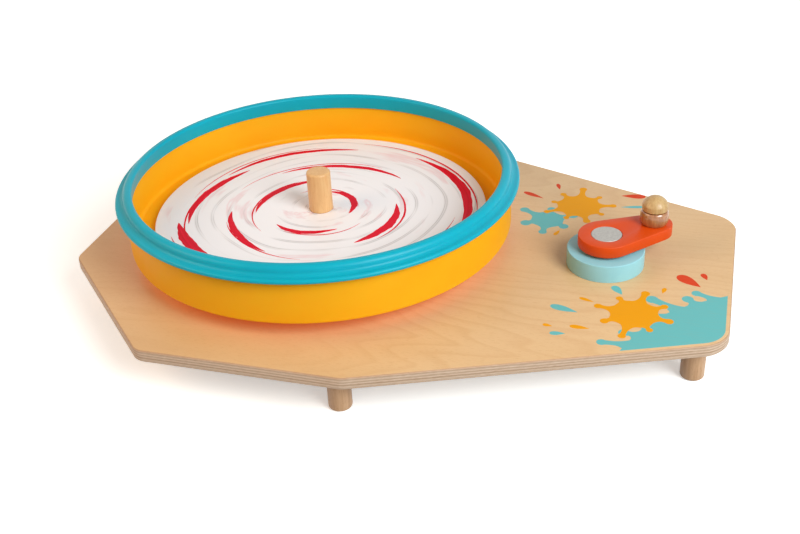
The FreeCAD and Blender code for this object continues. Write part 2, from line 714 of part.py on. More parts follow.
def make_arm():
    """Painted teardrop arm between the shaft's head and the handle."""
    slope = math.acos((ARM_HUB_RADIUS - ARM_TIP_RADIUS) / ARM_LENGTH)
    hub = [(ARM_HUB_RADIUS * math.cos(a), ARM_HUB_RADIUS * math.sin(a)) for a in (slope, math.pi, -slope)]
    tip = [
        (ARM_LENGTH + ARM_TIP_RADIUS * math.cos(a), ARM_TIP_RADIUS * math.sin(a)) for a in (-slope, 0, slope)
    ]
    at = [Vector(x, y, ARM_BOTTOM) for x, y in hub + tip]
    edges = [
        Part.Arc(at[0], at[1], at[2]).toShape(),
        Part.LineSegment(at[2], at[3]).toShape(),
        Part.Arc(at[3], at[4], at[5]).toShape(),
        Part.LineSegment(at[5], at[0]).toShape(),
    ]
    arm = Part.Face(Part.Wire(edges)).extrude(UP * ARM_THICK)
    arm = arm.makeChamfer(ARM_ARRIS, [e for e in arm.Edges if abs(e.BoundBox.ZLength) < 1e-3])
    arm.rotate(Vector(0, 0, 0), UP, ARM_ANGLE)
    arm.translate(Vector(CRANK_X, 0, 0))
    head_seat = BOLT_HEAD_RADIUS + FIXED_FIT
    cuts = [
        square_neck(FIXED_FIT),
        cylinder(SHAFT_HEAD_RADIUS + FIXED_FIT, ARM_TOP - SHAFT_HEAD_THICK, ARM_TOP, CRANK_X),
        cylinder(BOLT_RADIUS + FIXED_FIT, ARM_BOTTOM, ARM_TOP, ARM_TIP_X, ARM_TIP_Y),
        cylinder(head_seat, ARM_BOTTOM, ARM_BOTTOM + BOLT_HEAD_THICK, ARM_TIP_X, ARM_TIP_Y),
    ]
    return arm.cut(Part.makeCompound(cuts))


ROLLER_BOTTOM = ARM_TOP + END_FLOAT
ROLLER_TOP = ROLLER_BOTTOM + ROLLER_HEIGHT
CAP_BOTTOM = ROLLER_TOP + END_FLOAT + HANDLE_WASHER_THICK


def make_bolt():
    """Handle bolt, with its head let into the arm from below."""
    head = cylinder(BOLT_HEAD_RADIUS, ARM_BOTTOM, ARM_BOTTOM + BOLT_HEAD_THICK, ARM_TIP_X, ARM_TIP_Y)
    shank = cylinder(BOLT_RADIUS, ARM_BOTTOM, CAP_BOTTOM + CAP_BOLT_BITE, ARM_TIP_X, ARM_TIP_Y)
    return head.fuse(shank).removeSplitter()


def make_roller():
    """Barrel shaped beech roller that turns on the bolt."""
    bore = BOLT_RADIUS + RUNNING_FIT
    middle = (ROLLER_BOTTOM + ROLLER_TOP) / 2
    return turned(
        [
            (bore, ROLLER_BOTTOM),
            (ROLLER_END_RADIUS - ROLLER_EDGE, ROLLER_BOTTOM),
            (ROLLER_END_RADIUS, ROLLER_BOTTOM + ROLLER_EDGE),
            ((ROLLER_BELLY_RADIUS, middle), (ROLLER_END_RADIUS, ROLLER_TOP - ROLLER_EDGE)),
            (ROLLER_END_RADIUS - ROLLER_EDGE, ROLLER_TOP),
            (bore, ROLLER_TOP),
        ],
        ARM_TIP_X,
        ARM_TIP_Y,
    )


def make_cap():
    """Domed wooden cap on top of the bolt."""
    bore = BOLT_RADIUS + FIXED_FIT
    bore_top = CAP_BOTTOM + CAP_BOLT_BITE + FIXED_FIT
    shoulder = CAP_BOTTOM + CAP_BAND
    ball = (CAP_RADIUS**2 + CAP_DOME_HEIGHT**2) / (2 * CAP_DOME_HEIGHT)
    centre = shoulder + CAP_DOME_HEIGHT - ball
    half = math.atan2(shoulder - centre, CAP_RADIUS) / 2 + math.pi / 4
    return turned(
        [
            (bore, CAP_BOTTOM),
            (CAP_RADIUS, CAP_BOTTOM),
            (CAP_RADIUS, shoulder),
            ((ball * math.cos(half), centre + ball * math.sin(half)), (0, shoulder + CAP_DOME_HEIGHT)),
            (0, bore_top),
            (bore, bore_top),
        ],
        ARM_TIP_X,
        ARM_TIP_Y,
    )


def make_handle_washer():
    """Thin washer that keeps the cap off the roller and shows as a dark line."""
    bottom = CAP_BOTTOM - HANDLE_WASHER_THICK
    return ring(HANDLE_WASHER_RADIUS, BOLT_RADIUS + FIXED_FIT, bottom, CAP_BOTTOM, ARM_TIP_X, ARM_TIP_Y)


def thrust_washer(bottom, x):
    """Slippery washer on a shaft beside a bush's flange."""
    return ring(THRUST_WASHER_RADIUS, SHAFT_HOLE_RADIUS, bottom, bottom + THRUST_WASHER_THICK, x)


def nut_washer(x):
    """Steel washer between a pulley and its nut."""
    return ring(NUT_WASHER_RADIUS, THREAD_HOLE_RADIUS, NUT_TOP, NUT_TOP + NUT_WASHER_THICK, x)


def make_nodes():
    """Every separate piece by its node's name."""
    nodes = {"base_board": make_board()}
    for name, (x, y) in leg_places().items():
        nodes[name] = make_leg(x, y)
    nodes["spindle_housing"] = make_housing()
    nodes["spindle_housing_screws"] = make_housing_screws()
    nodes["spindle_bush_upper"] = make_bush(HOUSING_TOP, -1, TUB_X)
    nodes["spindle_bush_lower"] = make_bush(HOUSING_BOTTOM, 1, TUB_X)
    nodes["crank_base"] = make_crank_base()
    nodes["crank_base_screws"] = make_crank_screws()
    nodes["crank_bush_upper"] = make_bush(CRANK_BASE_TOP, -1, CRANK_X)
    nodes["crank_bush_lower"] = make_bush(BOARD_BOTTOM, 1, CRANK_X)
    nodes["drive_belt"] = make_belt()
    nodes["spindle"] = make_spindle()
    nodes["spindle_washer_upper"] = thrust_washer(HUB_BOTTOM - THRUST_WASHER_THICK, TUB_X)
    nodes["spindle_washer_lower"] = thrust_washer(DRIVEN_BOSS_TOP, TUB_X)
    nodes["tub_hub"] = make_hub()
    nodes["hub_pin"] = hub_pin(HUB_PIN_RADIUS, HUB_PIN_LENGTH)
    nodes["tub"] = make_tub()
    nodes["tub_screws"] = make_tub_screws()
    nodes["rim_ring"] = make_rim()
    nodes["painting_disc"] = make_disc()
    nodes["centre_peg"] = make_peg()
    nodes["driven_pulley"] = make_driven_pulley()
    nodes["driven_pulley_washer"] = nut_washer(TUB_X)
    nodes["driven_pulley_nut"] = make_nut(TUB_X)
    nodes["crank_shaft"] = make_crank_shaft()
    nodes["crank_washer_upper"] = thrust_washer(ARM_BOTTOM - THRUST_WASHER_THICK, CRANK_X)
    nodes["crank_washer_lower"] = thrust_washer(DRIVE_BOSS_TOP, CRANK_X)
    nodes["crank_arm"] = make_arm()
    nodes["drive_pulley"] = make_drive_pulley()
    nodes["drive_pulley_washer"] = nut_washer(CRANK_X)
    nodes["drive_pulley_nut"] = make_nut(CRANK_X)
    nodes["handle_bolt"] = make_bolt()
    nodes["handle_washer"] = make_handle_washer()
    nodes["handle_cap"] = make_cap()
    nodes["handle_roller"] = make_roller()
    return nodes


os.makedirs("parts", exist_ok=True)
for node, shape in make_nodes().items():
    shape.exportStep(f"parts/{node}.step")
    box = shape.BoundBox
    low = f"{box.XMin:.2f} {box.YMin:.2f} {box.ZMin:.2f}"
    high = f"{box.XMax:.2f} {box.YMax:.2f} {box.ZMax:.2f}"
    print(node, len(shape.Solids), shape.isValid(), f"{shape.Volume:.1f}", "from", low, "to", high)
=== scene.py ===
# %% [markdown]
# A hand cranked spin art machine. A yellow tub turns on a plywood board, and a crank at the narrow end
# drives it by a belt under the board. The moving parts come from a fixed frame of solids, and each
# visible one is dressed here with a finer mesh and the finish of the real thing.

# %% Load the frame
import json
import math

import bpy
from mathutils import Matrix, Vector


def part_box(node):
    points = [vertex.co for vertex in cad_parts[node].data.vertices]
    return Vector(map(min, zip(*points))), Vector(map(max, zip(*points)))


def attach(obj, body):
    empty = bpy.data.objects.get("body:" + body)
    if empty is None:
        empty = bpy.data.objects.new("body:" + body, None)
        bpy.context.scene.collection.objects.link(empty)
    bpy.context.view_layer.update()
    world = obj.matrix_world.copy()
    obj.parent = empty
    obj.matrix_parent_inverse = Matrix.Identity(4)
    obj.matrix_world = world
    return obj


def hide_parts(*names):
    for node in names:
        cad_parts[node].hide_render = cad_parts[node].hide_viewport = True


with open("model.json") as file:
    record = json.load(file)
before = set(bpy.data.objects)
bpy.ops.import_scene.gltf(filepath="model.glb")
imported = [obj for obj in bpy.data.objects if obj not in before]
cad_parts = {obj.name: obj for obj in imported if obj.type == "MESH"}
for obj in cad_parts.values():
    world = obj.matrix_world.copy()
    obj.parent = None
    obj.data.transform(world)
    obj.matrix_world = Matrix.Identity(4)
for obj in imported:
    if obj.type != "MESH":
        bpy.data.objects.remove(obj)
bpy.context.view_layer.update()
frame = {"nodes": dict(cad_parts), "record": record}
MM = 0.001
WHITE = (1.0, 1.0, 1.0, 1.0)


def box_of(node):
    """Lowest and highest corner of a node of the frame."""
    low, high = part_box(node)
    return Vector(low), Vector(high)


def middle(node):
    """Middle of a node's box, at the height of its foot."""
    low, high = box_of(node)
    return Vector(((low.x + high.x) / 2, (low.y + high.y) / 2, low.z))


TUB_AXIS = middle("tub")
CRANK_AXIS = middle("crank_base")
HANDLE_AXIS = middle("handle_cap")
DISC_CENTRE = Vector((TUB_AXIS.x, TUB_AXIS.y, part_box("painting_disc")[1][2]))
BOARD_LOW, BOARD_HIGH = box_of("base_board")
print("tub axis", tuple(TUB_AXIS), "crank axis", tuple(CRANK_AXIS))

# %% [markdown]
# Every pattern is a small network of nodes. One function adds a node, sets it and links it. Colours are
# written as they look on a screen and turned to linear light by another. Patterns read Object
# coordinates, which are metres here, so a scale of 1000 means one repeat each millimetre. Sockets are
# numbered where their names repeat: a Mix takes its factor at 0 and its colours at 6 and 7, and a Map
# Range takes its value at 0, the old range at 1 and 2 and the new one at 3 and 4.

# %% Helpers for materials


def linear(hex_colour):
    """Linear RGBA from a screen colour such as #FDC832."""
    parts = [int(hex_colour[i : i + 2], 16) / 255 for i in (1, 3, 5)]
    light = [p / 12.92 if p <= 0.04045 else ((p + 0.055) / 1.055) ** 2.4 for p in parts]
    return (*light, 1.0)


def output_of(value):
    """A node stands for its first output that is in use, and anything else for itself."""
    if isinstance(value, bpy.types.Node):
        return next(socket for socket in value.outputs if socket.enabled)
    return value


def put(tree, kind, inputs=None, stops=None, **settings):
    """Adds a node, whose kind is named without the ShaderNode that all of them start with.

    Inputs are values, sockets or nodes to link, and stops are the colours of a ramp.
    """
    made = tree.nodes.new("ShaderNode" + kind)
    for key, value in settings.items():
        setattr(made, key, value)
    for key, given in (inputs or {}).items():
        value = output_of(given)
        if isinstance(value, bpy.types.NodeSocket):
            tree.links.new(value, made.inputs[key])
        else:
            made.inputs[key].default_value = value
    if stops:
        ramp = made.color_ramp
        while len(ramp.elements) < len(stops):
            ramp.elements.new(0.5)
        for element, (place, colour) in zip(ramp.elements, stops):
            element.position = place
            element.color = linear(colour) if isinstance(colour, str) else (colour, colour, colour, 1)
    return made


def new_material(name, **surface):
    """Material with a principled shader, whose plain sockets are set here."""
    material = bpy.data.materials.new(name)
    material.use_nodes = True
    shader = material.node_tree.nodes["Principled BSDF"]
    for socket, value in surface.items():
        shader.inputs[socket.replace("_", " ")].default_value = value
    return material, material.node_tree


def feed(tree, **links):
    """Links nodes to the principled shader; a space in a socket's name is written as _."""
    shader = tree.nodes["Principled BSDF"]
    for socket, output in links.items():
        tree.links.new(output_of(output), shader.inputs[socket.replace("_", " ")])


def placed(tree, centre=(0, 0, 0), scale=(1, 1, 1)):
    """Object coordinates measured from a centre and stretched."""
    coordinates = put(tree, "TexCoord").outputs["Object"]
    moved = put(tree, "VectorMath", {0: coordinates, 1: tuple(centre)}, operation="SUBTRACT")
    return put(tree, "Mapping", {"Vector": moved, "Scale": scale})


# %% [markdown]
# Birch plywood, rotary cut and lacquered matt. The veneer is peeled off the log like paper off a roll,
# so its rings come out as broad, faint, wandering flames along the board, about 8 mm apart, with short
# fine pores. A slow noise cut into steps makes the flames, and a fine stretched one the pores.

# %% Birch veneer


def birch_veneer():
    material, tree = new_material("birch_veneer_matt_lacquer", Roughness=0.4, Specular_IOR_Level=0.4)
    along_board = placed(tree, scale=(1.5, 6.5, 6.5))
    broad = put(tree, "TexNoise", {"Vector": along_board, "Scale": 1.0, "Detail": 3.0, "Roughness": 0.42})
    rings = put(tree, "Math", {0: broad, 1: 34.0}, operation="MULTIPLY")
    wave = put(tree, "Math", {0: rings}, operation="FRACT")
    flame = put(tree, "ValToRGB", {"Fac": wave}, stops=[(0.0, 0.0), (0.55, 0.06), (0.86, 0.26), (1.0, 0.0)])
    wide = put(tree, "TexNoise", {"Vector": placed(tree, scale=(3, 5, 5)), "Scale": 1.0})
    where = put(tree, "ValToRGB", {"Fac": wide}, stops=[(0.36, 0.15), (0.62, 0.85)])
    faint = put(tree, "Math", {0: flame, 1: where}, operation="MULTIPLY")
    pores = put(
        tree,
        "TexNoise",
        {"Vector": placed(tree, scale=(170, 1500, 1500)), "Scale": 1.0, "Detail": 2.0, "Roughness": 0.6},
    )
    pore = put(tree, "ValToRGB", {"Fac": pores}, stops=[(0.30, 0.32), (0.44, 0.0)])
    cloud = put(tree, "TexNoise", {"Vector": placed(tree, scale=(4, 9, 9)), "Scale": 1.0, "Detail": 3.0})
    ground = put(tree, "ValToRGB", {"Fac": cloud}, stops=[(0.3, "#D8AE7C"), (0.68, "#E2BC8D")])
    pored = put(tree, "Mix", {0: pore, 6: ground, 7: linear("#C08A58")}, data_type="RGBA")
    flamed = put(tree, "Mix", {0: faint, 6: pored, 7: linear("#C48F5C")}, data_type="RGBA")
    bump = put(tree, "Bump", {"Height": pores, "Strength": 0.1, "Distance": 0.2 * MM})
    feed(tree, Base_Color=flamed, Normal=bump)
    return material


VENEER = birch_veneer()

# %% [markdown]
# The board's edge shows its nine plies, each about 1.4 mm, laid crosswise, so long grain and end grain
# take turns. The glue lines between them are thin and dark, darker where the saw tore a small void, and
# darkest under the top ply. Sanding has burnished the rounded upper edge to a warmer brown.
# The height of a point says which ply it is in.

# %% Plywood edge


PLIES = 9


def ply_edge():
    material, tree = new_material("birch_plywood_sawn_edge", Roughness=0.6)
    coordinates = put(tree, "TexCoord").outputs["Object"]
    height = put(tree, "SeparateXYZ", {0: coordinates}).outputs["Z"]
    wander = put(tree, "TexNoise", {"Vector": placed(tree, scale=(14, 14, 40)), "Scale": 1.0, "Detail": 2.0})
    bent = put(tree, "MapRange", {0: wander, 1: 0.3, 2: 0.7, 3: -0.2 * MM, 4: 0.2 * MM})
    shifted = put(tree, "Math", {0: height, 1: bent}, operation="ADD")
    level = put(tree, "MapRange", {0: shifted, 1: BOARD_LOW.z, 2: BOARD_HIGH.z, 3: 0.0, 4: PLIES})
    within = put(tree, "Math", {0: level}, operation="FRACT")
    pair = put(tree, "Math", {0: level, 1: 2.0}, operation="MODULO")
    cross = put(tree, "Math", {0: pair, 1: 1.0}, operation="GREATER_THAN")
    ply = put(tree, "Math", {0: level}, operation="FLOOR")
    chance = put(tree, "TexWhiteNoise", {"W": ply}, noise_dimensions="1D")
    depth = put(tree, "MapRange", {0: chance, 3: 0.25, 4: 1.0})
    tone = put(tree, "Math", {0: cross, 1: depth}, operation="MULTIPLY")
    glue = put(tree, "ValToRGB", {"Fac": within}, stops=[(0.0, 0.6), (0.14, 0.0), (0.90, 0.0), (1.0, 0.5)])
    grain = put(
        tree, "TexNoise", {"Vector": placed(tree, scale=(200, 200, 2600)), "Scale": 1.0, "Detail": 3.0}
    )
    torn = put(tree, "TexNoise", {"Vector": placed(tree, scale=(22, 22, 90)), "Scale": 1.0, "Detail": 1.0})
    voids = put(tree, "ValToRGB", {"Fac": torn}, stops=[(0.35, 0.4), (0.68, 1.0)])
    upper = put(tree, "MapRange", {0: level, 1: 6.5, 2: 7.5, 3: 0.55, 4: 1.0})
    torn_glue = put(tree, "Math", {0: glue, 1: voids}, operation="MULTIPLY")
    seam = put(tree, "Math", {0: torn_glue, 1: upper}, operation="MULTIPLY")
    long_ply = put(tree, "ValToRGB", {"Fac": grain}, stops=[(0.3, "#C6A68A"), (0.7, "#DFC6AF")])
    end_ply = put(tree, "ValToRGB", {"Fac": grain}, stops=[(0.3, "#9E7D62"), (0.7, "#BC9A7E")])
    layered = put(tree, "Mix", {0: tone, 6: long_ply, 7: end_ply}, data_type="RGBA")
    seamed = put(tree, "Mix", {0: seam, 6: layered, 7: linear("#7C5B4A")}, data_type="RGBA")
    burnish = put(tree, "MapRange", {0: level, 1: PLIES - 1.1, 2: PLIES - 0.4, 3: 0.0, 4: 0.6})
    burnished = put(tree, "Mix", {0: burnish, 6: seamed, 7: linear("#A8703C")}, data_type="RGBA")
    bump = put(tree, "Bump", {"Height": seam, "Strength": 0.4, "Distance": -0.3 * MM})
    feed(tree, Base_Color=burnished, Normal=bump)
    return material


PLY_EDGE = ply_edge()

# %% [markdown]
# Beech dowels, turned and lacquered. The grain runs up the dowel, with the short dark flecks that tell
# beech from other pale woods, and the sawn top shows end grain. The flecks are stretched cells. The
# handle's roller and its paler maple cap get the same pattern in other tones.

# %% Beech dowel


def beech(name, pale, deep, fleck, centre, roughness=0.4, coat=0.0):
    material, tree = new_material(name, Roughness=roughness, Coat_Weight=coat, Coat_Roughness=0.08)
    grain = put(
        tree,
        "TexNoise",
        {"Vector": placed(tree, centre, (420, 420, 26)), "Scale": 1.0, "Detail": 3.0, "Distortion": 0.4},
    )
    ground = put(tree, "ValToRGB", {"Fac": grain}, stops=[(0.3, deep), (0.68, pale)])
    cells = put(
        tree, "TexVoronoi", {"Vector": placed(tree, centre, (900, 900, 160)), "Scale": 1.0, "Randomness": 1.0}
    )
    marks = put(tree, "ValToRGB", {"Fac": cells}, stops=[(0.10, 0.4), (0.26, 0.0)])
    flecked = put(tree, "Mix", {0: marks, 6: ground, 7: linear(fleck)}, data_type="RGBA")
    bump = put(tree, "Bump", {"Height": grain, "Strength": 0.15, "Distance": 0.2 * MM})
    feed(tree, Base_Color=flecked, Normal=bump)
    return material


LEG_BEECH = beech("beech_dowel_satin", "#CDA47E", "#B98C64", "#976C44", (0, 0, 0))
PEG_BEECH = beech("beech_peg_satin", "#E6B980", "#DDA96F", "#C58F59", TUB_AXIS)
ROLLER_BEECH = beech(
    "beech_roller_gloss", "#B77C4C", "#91562E", "#713F22", HANDLE_AXIS, roughness=0.3, coat=0.9
)
CAP_MAPLE = beech("maple_cap_satin", "#CEAB75", "#B78E58", "#9C7644", HANDLE_AXIS, roughness=0.42, coat=0.1)

# %% [markdown]
# The tub and its ring are injection moulded polypropylene: an even colour with a soft gloss, a very
# fine skin texture from the mould, and a faint flow unevenness in the shine.

# %% Moulded plastic


def moulded(name, colour, shade, roughness, gloss, glow=0.0, depths=(1.0, 0.4, 0.06)):
    """Moulded plastic; glow is how much light wanders through its wall, depths how far each colour goes."""
    material, tree = new_material(
        name,
        Specular_IOR_Level=gloss,
        Subsurface_Weight=glow,
        Subsurface_Radius=depths,
        Subsurface_Scale=0.012,
    )
    flow = put(tree, "TexNoise", {"Vector": placed(tree, scale=(9, 9, 16)), "Scale": 1.0, "Detail": 3.0})
    tint = put(tree, "ValToRGB", {"Fac": flow}, stops=[(0.3, shade), (0.7, colour)])
    shine = put(tree, "MapRange", {0: flow, 1: 0.3, 2: 0.7, 3: roughness + 0.04, 4: roughness - 0.04})
    skin = put(tree, "TexNoise", {"Vector": placed(tree, scale=(1600,) * 3), "Scale": 1.0, "Detail": 2.0})
    bump = put(tree, "Bump", {"Height": skin, "Strength": 0.06, "Distance": 0.1 * MM})
    feed(tree, Base_Color=tint, Roughness=shine, Normal=bump)
    return material


TUB_PLASTIC = moulded("polypropylene_yellow", "#F7B016", "#F5A70E", 0.48, 0.14, glow=0.3)
RIM_PLASTIC = moulded(
    "polypropylene_cyan", "#00ABC0", "#00A3B8", 0.36, 0.2, glow=0.2, depths=(0.05, 0.6, 1.0)
)
BLACK_PLASTIC = moulded("nylon_black", "#1C1C1E", "#151517", 0.5, 0.45)
NATURAL_NYLON = moulded("nylon_natural", "#E8E2D2", "#DDD5C2", 0.45, 0.45)

# %% [markdown]
# Painted wood, on the crank arm and its block: two sprayed coats of water based enamel over beech. It
# looks even, but the light finds a faint orange peel, and the arrises get a paler tint as a painted
# highlight.

# %% Sprayed enamel


def enamel(name, colour, shade, arris_highlight, roughness):
    material, tree = new_material(name, Roughness=roughness, Specular_IOR_Level=0.25)
    cloud = put(tree, "TexNoise", {"Vector": placed(tree, scale=(40, 40, 40)), "Scale": 1.0, "Detail": 4.0})
    tint = put(tree, "ValToRGB", {"Fac": cloud}, stops=[(0.3, shade), (0.7, colour)])
    edges = put(tree, "NewGeometry").outputs["Pointiness"]
    # Arrises that stand out get a paler tint of the paint: a painted highlight along the edges.
    arris_highlight_mask = put(tree, "ValToRGB", {"Fac": edges}, stops=[(0.53, 0.0), (0.60, 0.35)])
    highlit = put(tree, "Mix", {0: arris_highlight_mask, 6: tint, 7: linear(arris_highlight)}, data_type="RGBA")
    peel = put(tree, "TexNoise", {"Vector": placed(tree, scale=(700,) * 3), "Scale": 1.0, "Detail": 1.0})
    bump = put(tree, "Bump", {"Height": peel, "Strength": 0.1, "Distance": 0.15 * MM})
    feed(tree, Base_Color=highlit, Normal=bump)
    return material


# The third colour of each enamel is its painted highlight on the arrises.
MINT_ENAMEL = enamel("enamel_mint", "#9AD2DC", "#92CAD5", "#C4E9EE", 0.42)
RED_ENAMEL = enamel("enamel_vermilion", "#DA4A0A", "#D44608", "#F0784C", 0.4)

# %% [markdown]
# Metal: the crank shaft's flat head is tumbled, not polished, so it scatters the light and looks
# cloudy. The bolts and nuts under the board are zinc plated, which is a little bluer and brighter.

# %% Steel


def steel(name, pale, deep, roughness, cloud_mm):
    material, tree = new_material(name, Metallic=1.0)
    per_metre = 1 / (cloud_mm * MM)
    cloud = put(
        tree,
        "TexNoise",
        {"Vector": placed(tree, scale=(per_metre,) * 3), "Scale": 1.0, "Detail": 5.0, "Roughness": 0.65},
    )
    tint = put(tree, "ValToRGB", {"Fac": cloud}, stops=[(0.3, deep), (0.7, pale)])
    shine = put(tree, "MapRange", {0: cloud, 1: 0.3, 2: 0.7, 3: roughness - 0.06, 4: roughness + 0.08})
    bump = put(tree, "Bump", {"Height": cloud, "Strength": 0.12, "Distance": 0.1 * MM})
    feed(tree, Base_Color=tint, Roughness=shine, Normal=bump)
    return material


TUMBLED_STEEL = steel("steel_tumbled", "#C4C1BB", "#ABA8A2", 0.5, 2.5)
ZINC_STEEL = steel("steel_zinc_plated", "#C2C5CA", "#A4A8AF", 0.32, 1.5)

# %% [markdown]
# The belt is extruded rubber cord: matt black, with a faint haze that is paler in places.

# %% Rubber


def rubber():
    material, tree = new_material("rubber_belt", Roughness=0.72)
    haze = put(tree, "TexNoise", {"Vector": placed(tree, scale=(300, 300, 900)), "Scale": 1.0, "Detail": 3.0})
    tint = put(tree, "ValToRGB", {"Fac": haze}, stops=[(0.3, "#161616"), (0.7, "#242322")])
    bump = put(tree, "Bump", {"Height": haze, "Strength": 0.2, "Distance": 0.1 * MM})
    feed(tree, Base_Color=tint, Normal=bump)
    return material


RUBBER = rubber()

# %% [markdown]
# The painting disc is white card that was spun with wet acrylic on it. Spinning drags the paint into
# thin arcs round the axis, so this pattern is worked out in polar form: the distance from the axis
# decides the streak, and the direction changes it only slowly. Every 16 mm a grey wash lies in the
# white with two fine raised ridges, about 2 mm apart, and both break off here and there.

# %% Spun white paint


def polar(tree, rings_per_metre, around, seed):
    """Coordinates whose first axis is the distance from the disc's centre; the others go slowly round it."""
    flat = placed(tree, DISC_CENTRE)
    wobble = put(tree, "TexNoise", {"Vector": flat, "Scale": 9.0, "Detail": 1.0})
    bent = put(tree, "Math", {0: wobble, 1: 0.014}, operation="MULTIPLY")
    cut = put(tree, "SeparateXYZ", {0: flat})
    distance = put(tree, "VectorMath", {0: flat}, operation="LENGTH")
    radius = put(tree, "Math", {0: distance, 1: bent}, operation="ADD")
    angle = put(tree, "Math", {0: cut.outputs["Y"], 1: cut.outputs["X"]}, operation="ARCTAN2")
    drift = put(tree, "Math", {0: radius, 1: 9.0}, operation="MULTIPLY")
    wound = put(tree, "Math", {0: angle, 1: drift}, operation="ADD")
    turned = {}
    for axis, operation in (("Y", "COSINE"), ("Z", "SINE")):
        wave = put(tree, "Math", {0: wound}, operation=operation)
        turned[axis] = put(tree, "Math", {0: wave, 1: around}, operation="MULTIPLY")
    rings = put(tree, "Math", {0: radius, 1: rings_per_metre, 2: seed}, operation="MULTIPLY_ADD")
    return put(tree, "CombineXYZ", {"X": rings, **turned})


def spun_paint():
    material, tree = new_material("acrylic_spun_white_on_card", Roughness=0.4)
    flat = placed(tree, DISC_CENTRE)
    sway = put(tree, "TexNoise", {"Vector": flat, "Scale": 6.0, "Detail": 1.0, "Roughness": 0.4})
    distance = put(tree, "VectorMath", {0: flat}, operation="LENGTH")
    swayed = put(tree, "Math", {0: sway, 1: 0.034, 2: distance}, operation="MULTIPLY_ADD")
    turns = put(tree, "Math", {0: swayed, 1: 64.0}, operation="MULTIPLY")
    ring = put(tree, "Math", {0: turns}, operation="FRACT")
    threads = put(
        tree,
        "ValToRGB",
        {"Fac": ring},
        stops=[(0.0, 0.0), (0.03, 0.7), (0.06, 0.05), (0.14, 0.1), (0.17, 0.5), (0.20, 0.0)],
    )
    gate = put(
        tree,
        "TexNoise",
        {"Vector": polar(tree, 52, 0.9, 11.7), "Scale": 1.0, "Detail": 2.0, "Roughness": 0.5},
    )
    gate_mask = put(tree, "ValToRGB", {"Fac": gate}, stops=[(0.48, 0.0), (0.60, 0.9)])
    ridges = put(tree, "Math", {0: threads, 1: gate_mask}, operation="MULTIPLY")
    wash = put(
        tree,
        "ValToRGB",
        {"Fac": ring},
        stops=[(0.0, 0.24), (0.20, 0.36), (0.28, 0.0), (0.9, 0.0), (1.0, 0.2)],
    )
    washes = put(tree, "Math", {0: wash, 1: gate_mask}, operation="MULTIPLY")
    pink = put(
        tree,
        "TexNoise",
        {"Vector": polar(tree, 60, 1.1, 27.4), "Scale": 1.0, "Detail": 3.0, "Roughness": 0.5},
    )
    pink_mask = put(tree, "ValToRGB", {"Fac": pink}, stops=[(0.60, 0.0), (0.68, 0.3), (0.74, 0.0)])
    washed = put(tree, "Mix", {0: washes, 6: linear("#FBF7FA"), 7: linear("#C4BDBD")}, data_type="RGBA")
    tinted = put(tree, "Mix", {0: pink_mask, 6: washed, 7: linear("#E58A94")}, data_type="RGBA")
    ridged = put(tree, "Mix", {0: ridges, 6: tinted, 7: linear("#8E8486")}, data_type="RGBA")
    bump = put(tree, "Bump", {"Height": ridges, "Strength": 0.4, "Distance": 0.4 * MM})
    feed(tree, Base_Color=ridged, Normal=bump)
    return material


SPUN_PAINT = spun_paint()

# %% [markdown]
# The red is thicker paint that was still wet when the disc stopped. It is glossier, and its streaks
# show paler where it ran thin.

# %% Red paint


def red_paint():
    material, tree = new_material("acrylic_red_wet", Roughness=0.4, Specular_IOR_Level=0.1)
    streak = put(
        tree,
        "TexNoise",
        {"Vector": polar(tree, 420, 1.4, 5.3), "Scale": 1.0, "Detail": 3.0, "Roughness": 0.6},
    )
    tint = put(
        tree, "ValToRGB", {"Fac": streak}, stops=[(0.30, "#D20020"), (0.60, "#E6002C"), (0.78, "#EA2C4C")]
    )
    bump = put(tree, "Bump", {"Height": streak, "Strength": 0.15, "Distance": 0.3 * MM})
    feed(tree, Base_Color=tint, Normal=bump)
    return material


RED_PAINT = red_paint()

# %% [markdown]
# The prints on the board are screen printed: flat ink with crisp edges and a slight unevenness where
# the wood shows through.

# %% Printed ink


def ink(name, colour, thin):
    material, tree = new_material(name, Roughness=0.45, Specular_IOR_Level=0.12)
    grain = put(tree, "TexNoise", {"Vector": placed(tree, scale=(60, 700, 700)), "Scale": 1.0, "Detail": 3.0})
    tint = put(tree, "ValToRGB", {"Fac": grain}, stops=[(0.32, thin), (0.5, colour)])
    bump = put(tree, "Bump", {"Height": grain, "Strength": 0.08, "Distance": 0.1 * MM})
    feed(tree, Base_Color=tint, Normal=bump)
    return material


ORANGE_INK = ink("screen_ink_orange", "#EE9F08", "#EC9E12")
TEAL_INK = ink("screen_ink_teal", "#6ABABC", "#72B8B8")
RED_INK = ink("screen_ink_red", "#D8421C", "#D64C2A")

# %% [markdown]
# Shapes that are turned on a lathe or moulded round start as a small plane merged to one vertex. It is
# extruded along half of the section, then spun about the upright axis. The section's corners are
# rounded first, as a real edge never is sharp.

# %% Helpers for turned pieces


def rounded(corners, segments=5):
    """Outline of (radius, height, rounding) corners in mm, with each corner drawn as an arc."""
    points = []
    last = len(corners) - 1
    for number, (r, z, rounding) in enumerate(corners):
        here = Vector((r, z))
        if number in (0, last) or rounding == 0:
            points.append(here)
            continue
        back = (Vector(corners[number - 1][:2]) - here).normalized()
        ahead = (Vector(corners[number + 1][:2]) - here).normalized()
        half = back.angle(ahead) / 2
        reach = rounding / math.tan(half)
        centre = here + (back + ahead).normalized() * (rounding / math.sin(half))
        first = here + back * reach - centre
        sweep = first.angle_signed(here + ahead * reach - centre)
        for step in range(segments + 1):
            turn = Matrix.Rotation(-sweep * step / segments, 2)
            points.append(centre + turn @ first)
    return [point * MM for point in points]


def pick(piece):
    """Selects one piece alone and makes it the active one."""
    bpy.ops.object.select_all(action="DESELECT")
    piece.select_set(True)
    bpy.context.view_layer.objects.active = piece


def apply_modifiers(piece):
    pick(piece)
    for modifier in list(piece.modifiers):
        bpy.ops.object.modifier_apply(modifier=modifier.name)


